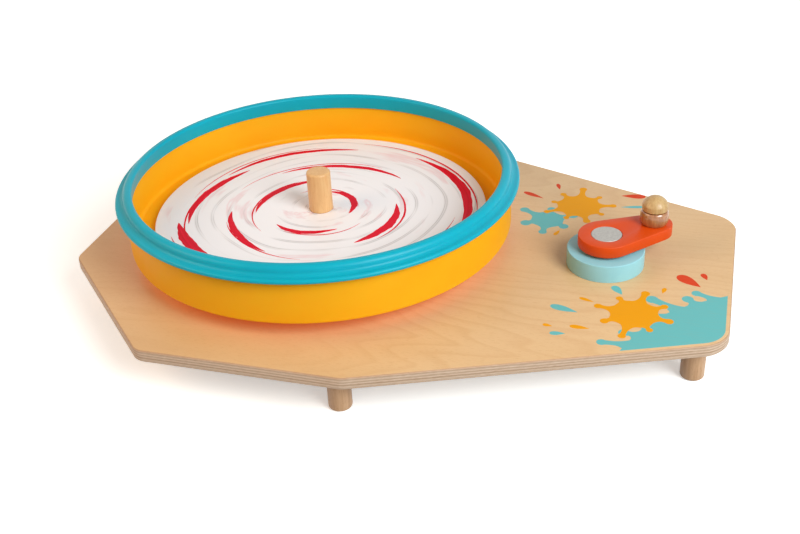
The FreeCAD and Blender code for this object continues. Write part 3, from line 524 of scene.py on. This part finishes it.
def place(piece, offset):
    """Moves a piece by its mesh, so that its object stays at the origin."""
    piece.location = offset
    pick(piece)
    bpy.ops.object.transform_apply(location=True, rotation=True, scale=True)


def copied(piece, name, offset):
    """Copy of a piece with a mesh of its own, moved by an offset."""
    twin = piece.copy()
    twin.data = piece.data.copy()
    twin.name = twin.data.name = name
    bpy.context.collection.objects.link(twin)
    place(twin, offset)
    return twin


def turn_on_lathe(name, outline, axis, material, steps=128, crease=32):
    """Turned piece from an outline in metres, about an upright axis; crease is the sharp angle in degrees."""
    bpy.ops.object.select_all(action="DESELECT")
    bpy.ops.mesh.primitive_plane_add(size=0.001, location=(0, 0, 0))
    piece = bpy.context.object
    piece.name = piece.data.name = name
    bpy.ops.object.mode_set(mode="EDIT")
    bpy.ops.mesh.select_mode(type="VERT")
    bpy.ops.mesh.select_all(action="SELECT")
    bpy.ops.mesh.merge(type="CENTER")
    bpy.ops.transform.translate(value=(outline[0][0], 0, outline[0][1]))
    for before, after in zip(outline, outline[1:]):
        step = (after[0] - before[0], 0, after[1] - before[1])
        bpy.ops.mesh.extrude_region_move(TRANSFORM_OT_translate={"value": step})
    bpy.ops.mesh.select_all(action="SELECT")
    bpy.ops.mesh.spin(steps=steps, angle=2 * math.pi, center=(0, 0, 0), axis=(0, 0, 1))
    bpy.ops.mesh.select_all(action="SELECT")
    bpy.ops.mesh.remove_doubles(threshold=1e-6)
    bpy.ops.mesh.normals_make_consistent(inside=False)
    bpy.ops.object.mode_set(mode="OBJECT")
    bpy.ops.object.shade_smooth_by_angle(angle=math.radians(crease))
    piece.data.materials.append(material)
    place(piece, (axis.x, axis.y, 0))
    return piece


def mm_box(node):
    """Half width, foot height and top height of a round node, in mm."""
    low, high = box_of(node)
    return (high.x - low.x) / 2 / MM, low.z / MM, high.z / MM


# %% [markdown]
# The tub is one moulding: a flat floor with a wide cove, an upright wall, and a rounded lower edge over
# a foot ring. Its section is a closed loop, so the wall has its real thickness.

# %% Tub

tub_radius, tub_foot, tub_top = mm_box("tub")
rim_radius, lip_foot, rim_top = mm_box("rim_ring")
disc_radius, tub_floor, disc_top = mm_box("painting_disc")
hub_top = mm_box("tub_hub")[2]
FIT = 0.05
WALL = 5.0
REBATE = 2.0
RING_COVER = 7.2
FOOT_WIDTH = 13.0
BORE = 5.2
ring_seat = tub_top - RING_COVER
tub = turn_on_lathe(
    "tub_shell",
    rounded(
        [
            (BORE, hub_top, 0),
            (tub_radius - FOOT_WIDTH, hub_top, 1.0),
            (tub_radius - FOOT_WIDTH, tub_foot, 1.0),
            (tub_radius, tub_foot, 3.2),
            (tub_radius, ring_seat, 0.3),
            (tub_radius - REBATE, ring_seat, 0.2),
            (tub_radius - REBATE, tub_top, 0.4),
            (tub_radius - WALL, tub_top, 0.4),
            (tub_radius - WALL, tub_floor, 4.0),
            (BORE, tub_floor, 0.3),
            (BORE, hub_top, 0),
        ],
        segments=6,
    ),
    TUB_AXIS,
    TUB_PLASTIC,
    steps=192,
)
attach(tub, "spinner")
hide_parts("tub")
print("tub", len(tub.data.polygons), "faces")

# %% [markdown]
# The rim ring is a splash guard, pushed over the wall. It has a broad rounded crest that leans over the
# tub, then a hollow groove, and a round bead that stands out all round. The crest, the groove and the
# bead catch the light differently, which is what makes the ring read as three bands.

# %% Rim ring

BEAD = 2.4
CREST_WIDTH = 9.9
LIP = 2.0
CREST_HEIGHT = 5.3
CREST_ROUND = 5.25
BEAD_ROUND = BEAD - 0.01
BEAD_LEDGE = 0.4
SHOULDER_OUT = 0.1
foot = ring_seat + FIT
slot_in = tub_radius - WALL - FIT
slot_out = tub_radius - REBATE + FIT
shoulder = tub_radius + SHOULDER_OUT
bead_top = foot + 2 * BEAD
groove_out = rim_radius - BEAD - BEAD_LEDGE
rim_outline = rounded(
    [
        (slot_in, tub_top, 0),
        (slot_out, tub_top, 0),
        (slot_out, foot, 0.2),
        (rim_radius, foot, BEAD_ROUND),
        (rim_radius, bead_top, BEAD_ROUND),
        (groove_out, bead_top, 0),
    ],
    segments=7,
)
GROOVE_STEPS = 7
groove_width = groove_out - shoulder
groove_height = rim_top - CREST_HEIGHT - bead_top
for step in range(1, GROOVE_STEPS):
    turn = math.pi / 2 * step / GROOVE_STEPS
    r = groove_out - groove_width * math.sin(turn)
    z = bead_top + groove_height * (1 - math.cos(turn))
    rim_outline.append(Vector((r, z)) * MM)
rim_outline += rounded(
    [
        (shoulder, rim_top - CREST_HEIGHT, 0),
        (shoulder, rim_top, CREST_ROUND),
        (shoulder - CREST_WIDTH, rim_top, 2.6),
        (slot_in - LIP, lip_foot, 0.5),
        (slot_in, lip_foot, 0.3),
        (slot_in, tub_top, 0),
    ],
    segments=7,
)
rim = turn_on_lathe("rim_splash_ring", rim_outline, TUB_AXIS, RIM_PLASTIC, steps=192)
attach(rim, "spinner")
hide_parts("rim_ring")

# %% [markdown]
# The disc is a stiff white board with slightly softened edges. The peg's shoulder holds it down.

# %% Painting disc and peg

PEG_FOOT = 10.0
DISC_HOLE = 10.4
RECESS_RADIUS = 12.65
RECESS = 0.6
BEVEL = 0.8
disc = turn_on_lathe(
    "painting_disc_board",
    rounded(
        [
            (DISC_HOLE, tub_floor, 0),
            (disc_radius, tub_floor, 0.5),
            (disc_radius, disc_top, 0.7),
            (RECESS_RADIUS, disc_top, 0.2),
            (RECESS_RADIUS, disc_top - RECESS, 0),
            (DISC_HOLE, disc_top - RECESS, 0.1),
            (DISC_HOLE, tub_floor, 0),
        ]
    ),
    TUB_AXIS,
    SPUN_PAINT,
    steps=192,
)
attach(disc, "spinner")
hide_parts("painting_disc")

peg_radius, peg_foot, peg_top = mm_box("centre_peg")
peg = turn_on_lathe(
    "centre_peg_dowel",
    rounded(
        [
            (0, peg_foot, 0),
            (PEG_FOOT, peg_foot, 0.3),
            (PEG_FOOT, disc_top - RECESS, 0),
            (peg_radius - BEVEL, disc_top - RECESS, 0),
            (peg_radius, disc_top - RECESS + BEVEL, 0.2),
            (peg_radius, peg_top, 2.4),
            (0, peg_top, 0),
        ],
        segments=6,
    ),
    TUB_AXIS,
    PEG_BEECH,
    steps=96,
)
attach(peg, "spinner")
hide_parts("centre_peg")

# %% [markdown]
# The board is sawn plywood. A disc of eight corners is moved into the board's outline, extruded to its
# thickness, its corners are rounded with the router's radius, and both arrises are broken by hand.

# %% Plywood board

APOTHEM = BOARD_HIGH.y
NARROW_HALF = 113.3 * MM
END_CORNER = 30.0 * MM
SIDE_CORNER = 16.0 * MM
ARRIS = 1.6 * MM
TOUCH = 0.01 * MM
LEVEL = 0.9
SMOOTH = math.radians(30)
side = APOTHEM * math.tan(math.pi / 8)
front = [
    (BOARD_HIGH.x, -NARROW_HALF, END_CORNER),
    (TUB_AXIS.x + side, -APOTHEM, SIDE_CORNER),
    (TUB_AXIS.x - side, -APOTHEM, SIDE_CORNER),
    (BOARD_LOW.x, -side, SIDE_CORNER),
]
board_corners = front + [(x, -y, radius) for x, y, radius in reversed(front)]


def select_edges(piece, wanted):
    """Selects only the edges whose two ends satisfy a test, in edit mode's edge selection."""
    bpy.ops.object.mode_set(mode="OBJECT")
    for face in piece.data.polygons:
        face.select = False
    for vertex in piece.data.vertices:
        vertex.select = False
    for edge in piece.data.edges:
        ends = [piece.data.vertices[index].co for index in edge.vertices]
        edge.select = wanted(*ends)
    bpy.ops.object.mode_set(mode="EDIT")
    bpy.ops.mesh.select_mode(type="EDGE")


def slab(name, outline, bottom, top):
    """Flat piece: a filled ring of vertices moved to an outline and extruded upwards."""
    bpy.ops.object.select_all(action="DESELECT")
    bpy.ops.mesh.primitive_circle_add(vertices=len(outline), radius=1, fill_type="NGON", location=(0, 0, 0))
    piece = bpy.context.object
    piece.name = piece.data.name = name
    for vertex, (x, y) in zip(piece.data.vertices, outline):
        vertex.co = (x, y, bottom)
    bpy.ops.object.mode_set(mode="EDIT")
    bpy.ops.mesh.select_all(action="SELECT")
    bpy.ops.mesh.extrude_region_move(TRANSFORM_OT_translate={"value": (0, 0, top - bottom)})
    bpy.ops.mesh.select_all(action="SELECT")
    bpy.ops.mesh.normals_make_consistent(inside=False)
    bpy.ops.object.mode_set(mode="OBJECT")
    return piece


board = slab("plywood_board", [(x, y) for x, y, _ in reversed(board_corners)], BOARD_LOW.z, BOARD_HIGH.z)
for number, (x, y, radius) in enumerate(board_corners):
    before = Vector(board_corners[number - 1][:2]) - Vector((x, y))
    after = Vector(board_corners[(number + 1) % len(board_corners)][:2]) - Vector((x, y))
    width = radius / math.tan(before.angle(after) / 2)
    corner = Vector((x, y, 0))
    select_edges(
        board, lambda a, b: all((Vector((v.x, v.y, 0)) - corner).length < TOUCH for v in (a, b))
    )
    bpy.ops.mesh.bevel(offset=width, segments=10, affect="EDGES")
    bpy.ops.object.mode_set(mode="OBJECT")
select_edges(board, lambda a, b: abs(a.z - b.z) < TOUCH)
bpy.ops.mesh.bevel(offset=ARRIS, segments=4, affect="EDGES")
bpy.ops.object.mode_set(mode="OBJECT")
board.data.materials.append(VENEER)
board.data.materials.append(PLY_EDGE)
for face in board.data.polygons:
    face.material_index = 0 if abs(face.normal.z) > LEVEL else 1
bpy.ops.object.shade_smooth_by_angle(angle=SMOOTH)
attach(board, "base")
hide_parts("base_board")
print("board", len(board.data.polygons), "faces")

# %% [markdown]
# Six legs are cut from one dowel, and only the foot's edge is rounded. One is turned, and the others
# are copies with a mesh of their own, because each has its own place.

# %% Legs

leg_nodes = sorted(name for name in frame["nodes"] if name.startswith("leg_"))
leg_radius, leg_foot, leg_top = mm_box(leg_nodes[0])
leg_outline = rounded(
    [
        (0, leg_foot, 0),
        (leg_radius, leg_foot, 2.5),
        (leg_radius, BOARD_LOW.z / MM, 0.2),
        (leg_radius / 2, BOARD_LOW.z / MM, 0.1),
        (leg_radius / 2, leg_top, 0.4),
        (0, leg_top, 0),
    ]
)
first_leg = turn_on_lathe(f"{leg_nodes[0]}_dowel", leg_outline, middle(leg_nodes[0]), LEG_BEECH, steps=64)
for name in leg_nodes:
    leg = first_leg
    if name != leg_nodes[0]:
        leg = copied(first_leg, f"{name}_dowel", middle(name) - middle(leg_nodes[0]))
    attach(leg, "base")
    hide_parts(name)
print("legs", len(leg_nodes))

# %% [markdown]
# The crank's block is a turned disc of wood, painted mint, with a small arris.

# %% Crank block

block_radius, block_foot, block_top = mm_box("crank_base")
BLOCK_BORE = 7.6
block = turn_on_lathe(
    "crank_block",
    rounded(
        [
            (BLOCK_BORE, block_foot, 0),
            (block_radius, block_foot, 0.5),
            (block_radius, block_top, 0.9),
            (BLOCK_BORE, block_top, 0.5),
            (BLOCK_BORE, block_foot, 0),
        ]
    ),
    CRANK_AXIS,
    MINT_ENAMEL,
)
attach(block, "base")
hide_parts("crank_base")

# %% [markdown]
# The arm's outline is two circles joined by their tangents. A round pocket in its top takes the shaft's
# head, and every arris is softened after the pocket is cut, so the paint turns over the edge.

# %% Crank arm

arm_low, arm_high = box_of("crank_arm")
HUB_RADIUS = 27.4 * MM
TIP_RADIUS = 18.0 * MM
reach = Vector((HANDLE_AXIS.x - CRANK_AXIS.x, HANDLE_AXIS.y - CRANK_AXIS.y))
heading = math.atan2(reach.y, reach.x)
slope = math.acos((HUB_RADIUS - TIP_RADIUS) / reach.length)


def arc(centre, radius, start, end, count):
    """Points along an arc of a circle, from one angle to another."""
    angles = [start + (end - start) * step / count for step in range(count + 1)]
    return [(centre[0] + radius * math.cos(a), centre[1] + radius * math.sin(a)) for a in angles]


arm_outline = arc(CRANK_AXIS, HUB_RADIUS, heading + slope, heading + 2 * math.pi - slope, 64)
arm_outline += arc(HANDLE_AXIS, TIP_RADIUS, heading - slope, heading + slope, 40)
arm = slab("crank_arm_teardrop", arm_outline, arm_low.z, arm_high.z)
head_radius = mm_box("crank_shaft")[0]
POCKET_GAP = 0.2
POCKET_DEPTH = 3.0
bpy.ops.object.select_all(action="DESELECT")
bpy.ops.mesh.primitive_cylinder_add(
    vertices=96,
    radius=(head_radius + POCKET_GAP) * MM,
    depth=2 * POCKET_DEPTH * MM,
    location=(CRANK_AXIS.x, CRANK_AXIS.y, arm_high.z),
)
cutter = bpy.context.object
pocket = arm.modifiers.new("pocket", "BOOLEAN")
pocket.object = cutter
pocket.operation = "DIFFERENCE"
soften = arm.modifiers.new("arris", "BEVEL")
soften.width = 0.8 * MM
soften.segments = 3
soften.limit_method = "ANGLE"
soften.angle_limit = math.radians(40)
apply_modifiers(arm)
bpy.data.objects.remove(cutter)
bpy.ops.object.shade_smooth_by_angle(angle=SMOOTH)
arm.data.materials.append(RED_ENAMEL)
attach(arm, "crank")
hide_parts("crank_arm")

# %% [markdown]
# The crank shaft is one turned piece: the wide head that shows, and the run that goes down through the
# block and the board to the pulley's nut.

# %% Crank shaft

_, shaft_foot, shaft_top = mm_box("crank_shaft")
pulley_top = mm_box("drive_pulley")[2]
SHAFT = 5.0
THREAD = 4.0
shaft = turn_on_lathe(
    "crank_shaft_turned",
    rounded(
        [
            (0, shaft_foot, 0),
            (THREAD, shaft_foot, 0.8),
            (THREAD, pulley_top, 0),
            (SHAFT, pulley_top, 0.3),
            (SHAFT, shaft_top - POCKET_DEPTH, 0),
            (head_radius, shaft_top - POCKET_DEPTH, 0.3),
            (head_radius, shaft_top, 0.5),
            (0, shaft_top, 0),
        ]
    ),
    CRANK_AXIS,
    TUMBLED_STEEL,
    steps=96,
)
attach(shaft, "crank")
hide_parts("crank_shaft")

# %% [markdown]
# The handle is a glossy barrel that turns under a domed cap. A thin dark washer parts them.

# %% Handle

roller_radius, roller_foot, roller_top = mm_box("handle_roller")
BOLT_BORE = 3.1
END_RADIUS = 12.9
END_FACE = 11.9
END_CHAMFER = 1.2
roller_waist = (roller_foot + roller_top) / 2
belly_half = (roller_top - roller_foot) / 2 - END_CHAMFER
BELLY_STEPS = 10
belly = []
for step in range(BELLY_STEPS + 1):
    share = 2 * step / BELLY_STEPS - 1
    bulge = (roller_radius - END_RADIUS) * (1 - share * share)
    belly.append((END_RADIUS + bulge, roller_waist + share * belly_half, 0))
roller = turn_on_lathe(
    "handle_roller_barrel",
    rounded(
        [(BOLT_BORE, roller_foot, 0), (END_FACE, roller_foot, 0.3)]
        + belly
        + [(END_FACE, roller_top, 0.3), (BOLT_BORE, roller_top, 0), (BOLT_BORE, roller_foot, 0)]
    ),
    HANDLE_AXIS,
    ROLLER_BEECH,
    steps=96,
)
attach(roller, "grip")
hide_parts("handle_roller")

cap_radius, cap_foot, cap_top = mm_box("handle_cap")
CAP_BAND = 5.4
dome_height = cap_top - cap_foot - CAP_BAND
ball = (cap_radius**2 + dome_height**2) / (2 * dome_height)
DOME_STEPS = 14
half_angle = math.asin(min(1.0, cap_radius / ball))
dome = []
for step in range(1, DOME_STEPS + 1):
    angle = half_angle * (1 - step / DOME_STEPS)
    dome.append((ball * math.sin(angle), cap_top - ball + ball * math.cos(angle), 0))
cap = turn_on_lathe(
    "handle_cap_dome",
    rounded([(0, cap_foot, 0), (cap_radius, cap_foot, 0.7), (cap_radius, cap_foot + CAP_BAND, 0.2)] + dome),
    HANDLE_AXIS,
    CAP_MAPLE,
    steps=96,
    crease=14,
)
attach(cap, "crank")
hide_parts("handle_cap")

# %% [markdown]
# Screen prints lie on the board as a film of ink: round blots with fingers that end in bulbs, a corner
# washed by larger fingers, and loose drops. Each outline is made of arcs and smooth bends, is filled,
# and gets the film's thickness. A print that overlaps another lies on it as a second film.

# %% Prints on the board

FILM = 0.06 * MM
BULB_TURN = math.radians(128)
NECK_PLACE = 0.32
NECK_WIDTH = 0.4
ROOT_WIDTH = 0.36
VALLEY = 0.98


def bend(start, lean, end, count):
    """Points of a smooth bend from start to end that leans towards a point, without the last."""
    shares = [step / count for step in range(count)]
    return [start * (1 - t) ** 2 + lean * 2 * t * (1 - t) + end * t * t for t in shares]


def finger(start, end, tip, bulb):
    """Outline round a finger with a round bulb at its tip, from its right root to its left."""
    root = (start + end) / 2
    way = (tip - root).normalized()
    left = Vector((-way.y, way.x))
    back = way * math.cos(BULB_TURN)
    side = left * math.sin(BULB_TURN)
    lean = root + (tip - root) * NECK_PLACE
    heading = math.atan2(way.y, way.x)
    points = bend(start, lean - left * bulb * NECK_WIDTH, tip + (back - side) * bulb, 6)
    points += [Vector(point) for point in arc(tip, bulb, heading - BULB_TURN, heading + BULB_TURN, 14)]
    points += bend(tip + (back + side) * bulb, lean + left * bulb * NECK_WIDTH, end, 6)[1:]
    return points + [end]


def drop_outline(x, y, length, width, heading, count=32):
    """Outline of a drop: pointed at its start, round at its far end."""
    points = []
    way = Vector((math.cos(heading), math.sin(heading)))
    left = Vector((-way.y, way.x))
    for step in range(count):
        t = 2 * math.pi * step / count
        along = length * (0.5 - 0.5 * math.cos(t))
        across = width / 2 * math.sin(t) * math.sin(t / 2) ** 1.2
        points.append(Vector((x, y)) + way * along + left * across)
    return points


def film(name, outline, material, bottom, thickness, body):
    """Thin layer from an outline in metres, riding a body."""
    layer = slab(name, outline, bottom, bottom + thickness)
    layer.data.materials.append(material)
    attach(layer, body)


def printed(name, outline, material, layer=0):
    """Film of ink on the board; a higher layer lies on a lower one."""
    film(name, outline, material, BOARD_HIGH.z + layer * FILM, FILM, "base")


def blot(name, x, y, radius, fingers, start, material, layer):
    """Round blot, in mm, with fingers of (length, bulb) all round it."""
    centre = Vector((x, y)) * MM
    share = 2 * math.pi / len(fingers)
    root = share * ROOT_WIDTH

    def on_ray(angle, reach):
        return centre + Vector((math.cos(angle), math.sin(angle))) * reach * MM

    outline = []
    for number, (length, bulb) in enumerate(fingers):
        heading = start + number * share
        tip = on_ray(heading, radius + length)
        outline += finger(on_ray(heading - root, radius), on_ray(heading + root, radius), tip, bulb * MM)
        outline.append(on_ray(heading + share / 2, radius * VALLEY))
    printed(name, outline, material, layer)


BACK_ORANGE = [(13, 3.6), (7, 3.0), (16, 4.2), (8, 3.4), (5, 3.0), (14, 3.4), (7, 3.2), (11, 4.0), (6, 3.0)]
BACK_TEAL = [(11, 5.4), (6, 4.6), (15, 5.0), (7, 5.6), (10, 4.4), (5, 5.0)]
FRONT_ORANGE = [(9, 3.6), (15, 4.2), (6, 3.4), (12, 3.8), (8, 4.0), (16, 3.6), (6, 3.2), (10, 4.2)]
blot("print_blot_back_teal", 134, 76, 17, BACK_TEAL, 0.5, TEAL_INK, 0)
blot("print_blot_back_orange", 162, 112, 23, BACK_ORANGE, 0.2, ORANGE_INK, 1)
blot("print_blot_front_orange", 240, -84, 22, FRONT_ORANGE, 0.6, ORANGE_INK, 1)

# %% [markdown]
# The corner wash follows the board's edge a little inside it, and its fingers point up the board. A row
# gives a finger's place along the wash, half its root's width, its length, its bulb and its lean. For a
# drop it gives the name, the place of its point, the length, the width, the heading and the ink.

# %% Corner wash and drops

INSET = 4 * MM
WASH_LENGTH = 96 * MM
WASH_TOP = -36 * MM
WASH_BOW = 15 * MM
WASH_FINGERS = [
    (0.10, 0.050, 17, 4.6, 0.3),
    (0.24, 0.055, 9, 5.4, -0.1),
    (0.38, 0.060, 26, 6.0, 0.2),
    (0.52, 0.050, 12, 4.6, 0.5),
    (0.66, 0.060, 20, 5.6, 0.1),
    (0.80, 0.050, 10, 5.0, 0.6),
    (0.92, 0.050, 21, 4.4, 0.9),
]


def corner_wash():
    """Wash in the front right corner, bounded by the board's edge and by a row of fingers."""
    corner = Vector((BOARD_HIGH.x, -NARROW_HALF))
    along = (Vector((TUB_AXIS.x + side, -APOTHEM)) - corner).normalized()
    inward = Vector((along.y, -along.x))
    opening = math.pi - math.acos(along.dot(Vector((0, 1))))
    centre = corner + Vector((-1, math.tan(opening / 2))) * END_CORNER
    first = math.atan2(-inward.y, -inward.x)
    start = corner + along * WASH_LENGTH + inward * INSET
    tail = Vector((BOARD_HIGH.x - INSET, WASH_TOP))
    outline = [start] + [Vector(point) for point in arc(centre, END_CORNER - INSET, first, 0.0, 12)] + [tail]
    way = (start - tail).normalized()
    outward = Vector((way.y, -way.x))

    def on_wash(share):
        return tail.lerp(start, share) + outward * WASH_BOW * math.sin(math.pi * share)

    for share, half, length, bulb, lean in WASH_FINGERS:
        tip = on_wash(share) + (outward + way * lean).normalized() * length * MM
        outline += finger(on_wash(share - half), on_wash(share + half), tip, bulb * MM)
    printed("print_corner_wash", outline, TEAL_INK)


corner_wash()
LOOSE_DROPS = [
    ("teal_a", 178, 62, 30, 10, -0.4, TEAL_INK),
    ("teal_b", 205, 118, 26, 7, 0.2, TEAL_INK),
    ("teal_c", 190, -92, 27, 12, 2.9, TEAL_INK),
    ("teal_d", 226, -54, 17, 11, 2.2, TEAL_INK),
    ("teal_e", 184, -128, 14, 8, 3.3, TEAL_INK),
    ("orange_a", 204, -116, 18, 8, 3.1, ORANGE_INK),
    ("orange_b", 202, -72, 15, 6, 2.8, ORANGE_INK),
    ("orange_c", 262, -44, 10, 6, 1.4, ORANGE_INK),
    ("orange_d", 150, 56, 12, 6, -1.9, ORANGE_INK),
    ("orange_e", 171, -119, 9, 6, 3.0, ORANGE_INK),
    ("red_a", 122, 122, 26, 9, 2.7, RED_INK),
    ("red_b", 136, 146, 14, 6, 1.9, RED_INK),
    ("red_c", 296, -26, 28, 17, 2.5, RED_INK),
    ("red_d", 301, -12, 12, 8, 2.0, RED_INK),
    ("red_e", 203, 144, 26, 13, 0.1, RED_INK),
]
for name, x, y, length, width, heading, material in LOOSE_DROPS:
    printed(f"print_drop_{name}", drop_outline(x * MM, y * MM, length * MM, width * MM, heading), material)

# %% [markdown]
# Red paint lies on the disc in long crescents, flung round by the spin. Each begins as a thick blob,
# thins out into a tail and is followed by a finer thread. Their edges are a little ragged, and no two
# are equally thick, so where they cross one lies on the other. A row gives the distance from the axis,
# the start, the sweep, the width, and how far the stroke drifts outwards.

# %% Red crescents on the disc

PAINT = 0.12 * MM
FULL = 3.3
TIP = 0.05
CRESCENTS = [
    (153, 350, 74, 10, -5),
    (141, 92, 66, 6, -4),
    (128, 148, 58, 8, 8),
    (146, 204, 46, 12, -8),
    (124, 262, 74, 10, 8),
    (101, 52, 84, 6, -5),
    (92, 196, 60, 7, 6),
    (84, 312, 66, 9, -6),
    (62, 108, 92, 7, 5),
    (54, 232, 76, 6, -4),
    (33, 350, 110, 7, 4),
]


def crescent(name, radius, start, sweep, width, drift, thickness):
    """Paint stroke along a circle, in mm and degrees, that drifts outwards or inwards."""
    steps = max(18, round(radius * sweep / 60))
    outer = []
    inner = []
    for step in range(steps + 1):
        t = step / steps
        angle = math.radians(start + sweep * t)
        body = width / 2 * FULL * t**0.8 * (1 - t) ** 0.9
        ragged = body * (0.10 * math.sin(24 * t + radius) + 0.06 * math.sin(61 * t + start))
        way = Vector((math.cos(angle), math.sin(angle)))
        path = radius + drift * t + 0.8 * math.sin(6 * t + start)
        outer.append(TUB_AXIS.xy + way * (path + body + ragged + TIP) * MM)
        inner.append(TUB_AXIS.xy + way * (path - body + ragged * 0.5 - TIP) * MM)
    film(name, outer + inner[::-1], RED_PAINT, disc_top * MM, thickness, "spinner")


for number, (radius, start, sweep, width, drift) in enumerate(CRESCENTS, 1):
    layer = PAINT * (1 + number / len(CRESCENTS))
    crescent(f"paint_crescent_{number:02}", radius, start, sweep, width, drift, layer)
    thread = (radius + width * 0.75, start + sweep * 0.22, sweep * 1.15, width * 0.22, drift)
    crescent(f"paint_thread_{number:02}", *thread, layer / 3)
print("crescents", 2 * len(CRESCENTS))

# %% [markdown]
# What is left of the frame is right as it is: the drive under the board, the bearings and the screws.
# Those nodes keep their shape and get their finish. The replaced ones are hidden, and get theirs too.

# %% Finish the pieces that stay

FINISHES = {
    "nylon": NATURAL_NYLON,
    "black_plastic": BLACK_PLASTIC,
    "zinc_steel": ZINC_STEEL,
    "satin_steel": TUMBLED_STEEL,
    "belt_rubber": RUBBER,
    "birch_plywood": VENEER,
    "beech": LEG_BEECH,
    "beech_gloss": ROLLER_BEECH,
    "pale_maple": CAP_MAPLE,
    "mint_paint": MINT_ENAMEL,
    "vermilion_paint": RED_ENAMEL,
    "yellow_plastic": TUB_PLASTIC,
    "cyan_plastic": RIM_PLASTIC,
    "painted_card": SPUN_PAINT,
}
for part in frame["record"]["subparts"]:
    node = frame["nodes"][part["node"]]
    node.data.materials.clear()
    node.data.materials.append(FINISHES[part["material_slot"]])

# %% [markdown]
# A white studio: one broad soft lamp from the front right, a weaker and warmer one from the left, and
# an even world. The real tub lets orange light through to the board below it, which a thick mesh
# doesn't, so a faint orange lamp under the tub stands for that. The floor is white paper, lit so that it
# comes out white where nothing shades it, and the object keeps its own soft shadow on it. Far from the
# object the floor fades into the background.

# %% Floor, lamps and world

FADE_START = 0.6
FADE_END = 1.8
PAPER_GLOW = 0.42
WORLD_LIGHT = 0.34
AIM = (0, 0, 0.08)


def seen(tree):
    """One for what the camera sees itself or through a reflection or glass, and nought for other light."""
    path = put(tree, "LightPath")
    through = put(
        tree,
        "Math",
        {0: path.outputs["Is Glossy Ray"], 1: path.outputs["Is Transmission Ray"]},
        operation="MAXIMUM",
    )
    return put(tree, "Math", {0: path.outputs["Is Camera Ray"], 1: through}, operation="MAXIMUM")


def studio_floor():
    bpy.ops.object.select_all(action="DESELECT")
    bpy.ops.mesh.primitive_plane_add(size=12, location=(0, 0, 0))
    floor = bpy.context.object
    floor.name = "studio_floor"
    material, tree = new_material("white_paper", Roughness=0.9, Specular_IOR_Level=0.0, Emission_Color=WHITE)
    colour = put(tree, "Mix", {0: seen(tree), 6: linear("#B0B0B0"), 7: WHITE}, data_type="RGBA")
    distance = put(tree, "VectorMath", {0: placed(tree)}, operation="LENGTH")
    fade = put(tree, "MapRange", {0: distance, 1: FADE_START, 2: FADE_END, 3: PAPER_GLOW, 4: 1.0})
    lift = put(tree, "Math", {0: seen(tree), 1: fade}, operation="MULTIPLY")
    feed(tree, Base_Color=colour, Emission_Strength=lift)
    floor.data.materials.append(material)


def lamp(name, place_at, target, size, power, colour):
    data = bpy.data.lights.new(name, "AREA")
    data.shape = "DISK"
    data.size = size
    data.energy = power
    data.color = colour
    made = bpy.data.objects.new(name, data)
    bpy.context.collection.objects.link(made)
    made.location = place_at
    made.rotation_euler = (Vector(target) - Vector(place_at)).to_track_quat("-Z", "Y").to_euler()


studio_floor()
lamp("key_front_right", (1.66, -1.05, 1.42), AIM, 1.4, 52, (0.92, 0.99, 1.0))
lamp("fill_left", (-1.6, -0.8, 1.3), AIM, 1.4, 16, (1.0, 0.66, 0.36))
under_tub = Vector((TUB_AXIS.x, TUB_AXIS.y, TUB_AXIS.z - 0.5 * MM))
lamp("glow_under_tub", under_tub, under_tub - Vector((0, 0, 1)), 0.37, 0.115, (1.0, 0.2, 0.02))

world = bpy.data.worlds.new("white_studio")
world.use_nodes = True
bpy.context.scene.world = world
world_tree = world.node_tree
background = world_tree.nodes["Background"]
strength = put(world_tree, "MapRange", {0: seen(world_tree), 3: WORLD_LIGHT, 4: 1.0})
world_tree.links.new(strength.outputs[0], background.inputs["Strength"])
background.inputs["Color"].default_value = WHITE

# %% [markdown]
# The camera stands to the front and right of the machine, a metre and more away. It looks down at 31
# degrees and is very slightly rolled.

# %% Camera

CAMERA_PLACE = (0.2908, -0.9397, 0.6189)
LOOK_DOWN = math.radians(31.21)
HEADING = math.radians(17.6)
ROLL = math.radians(-3.01)
LENS = 49.707
camera_data = bpy.data.cameras.new("photo_camera")
camera_data.lens = LENS
camera_data.sensor_width = 36
camera_data.sensor_fit = "HORIZONTAL"
camera = bpy.data.objects.new("photo_camera", camera_data)
bpy.context.collection.objects.link(camera)
aim = Matrix.Rotation(HEADING, 4, "Z") @ Matrix.Rotation(math.pi / 2 - LOOK_DOWN, 4, "X")
camera.matrix_world = Matrix.Translation(CAMERA_PLACE) @ aim @ Matrix.Rotation(ROLL, 4, "Z")
bpy.context.scene.camera = camera
bpy.context.scene.view_settings.view_transform = "Standard"
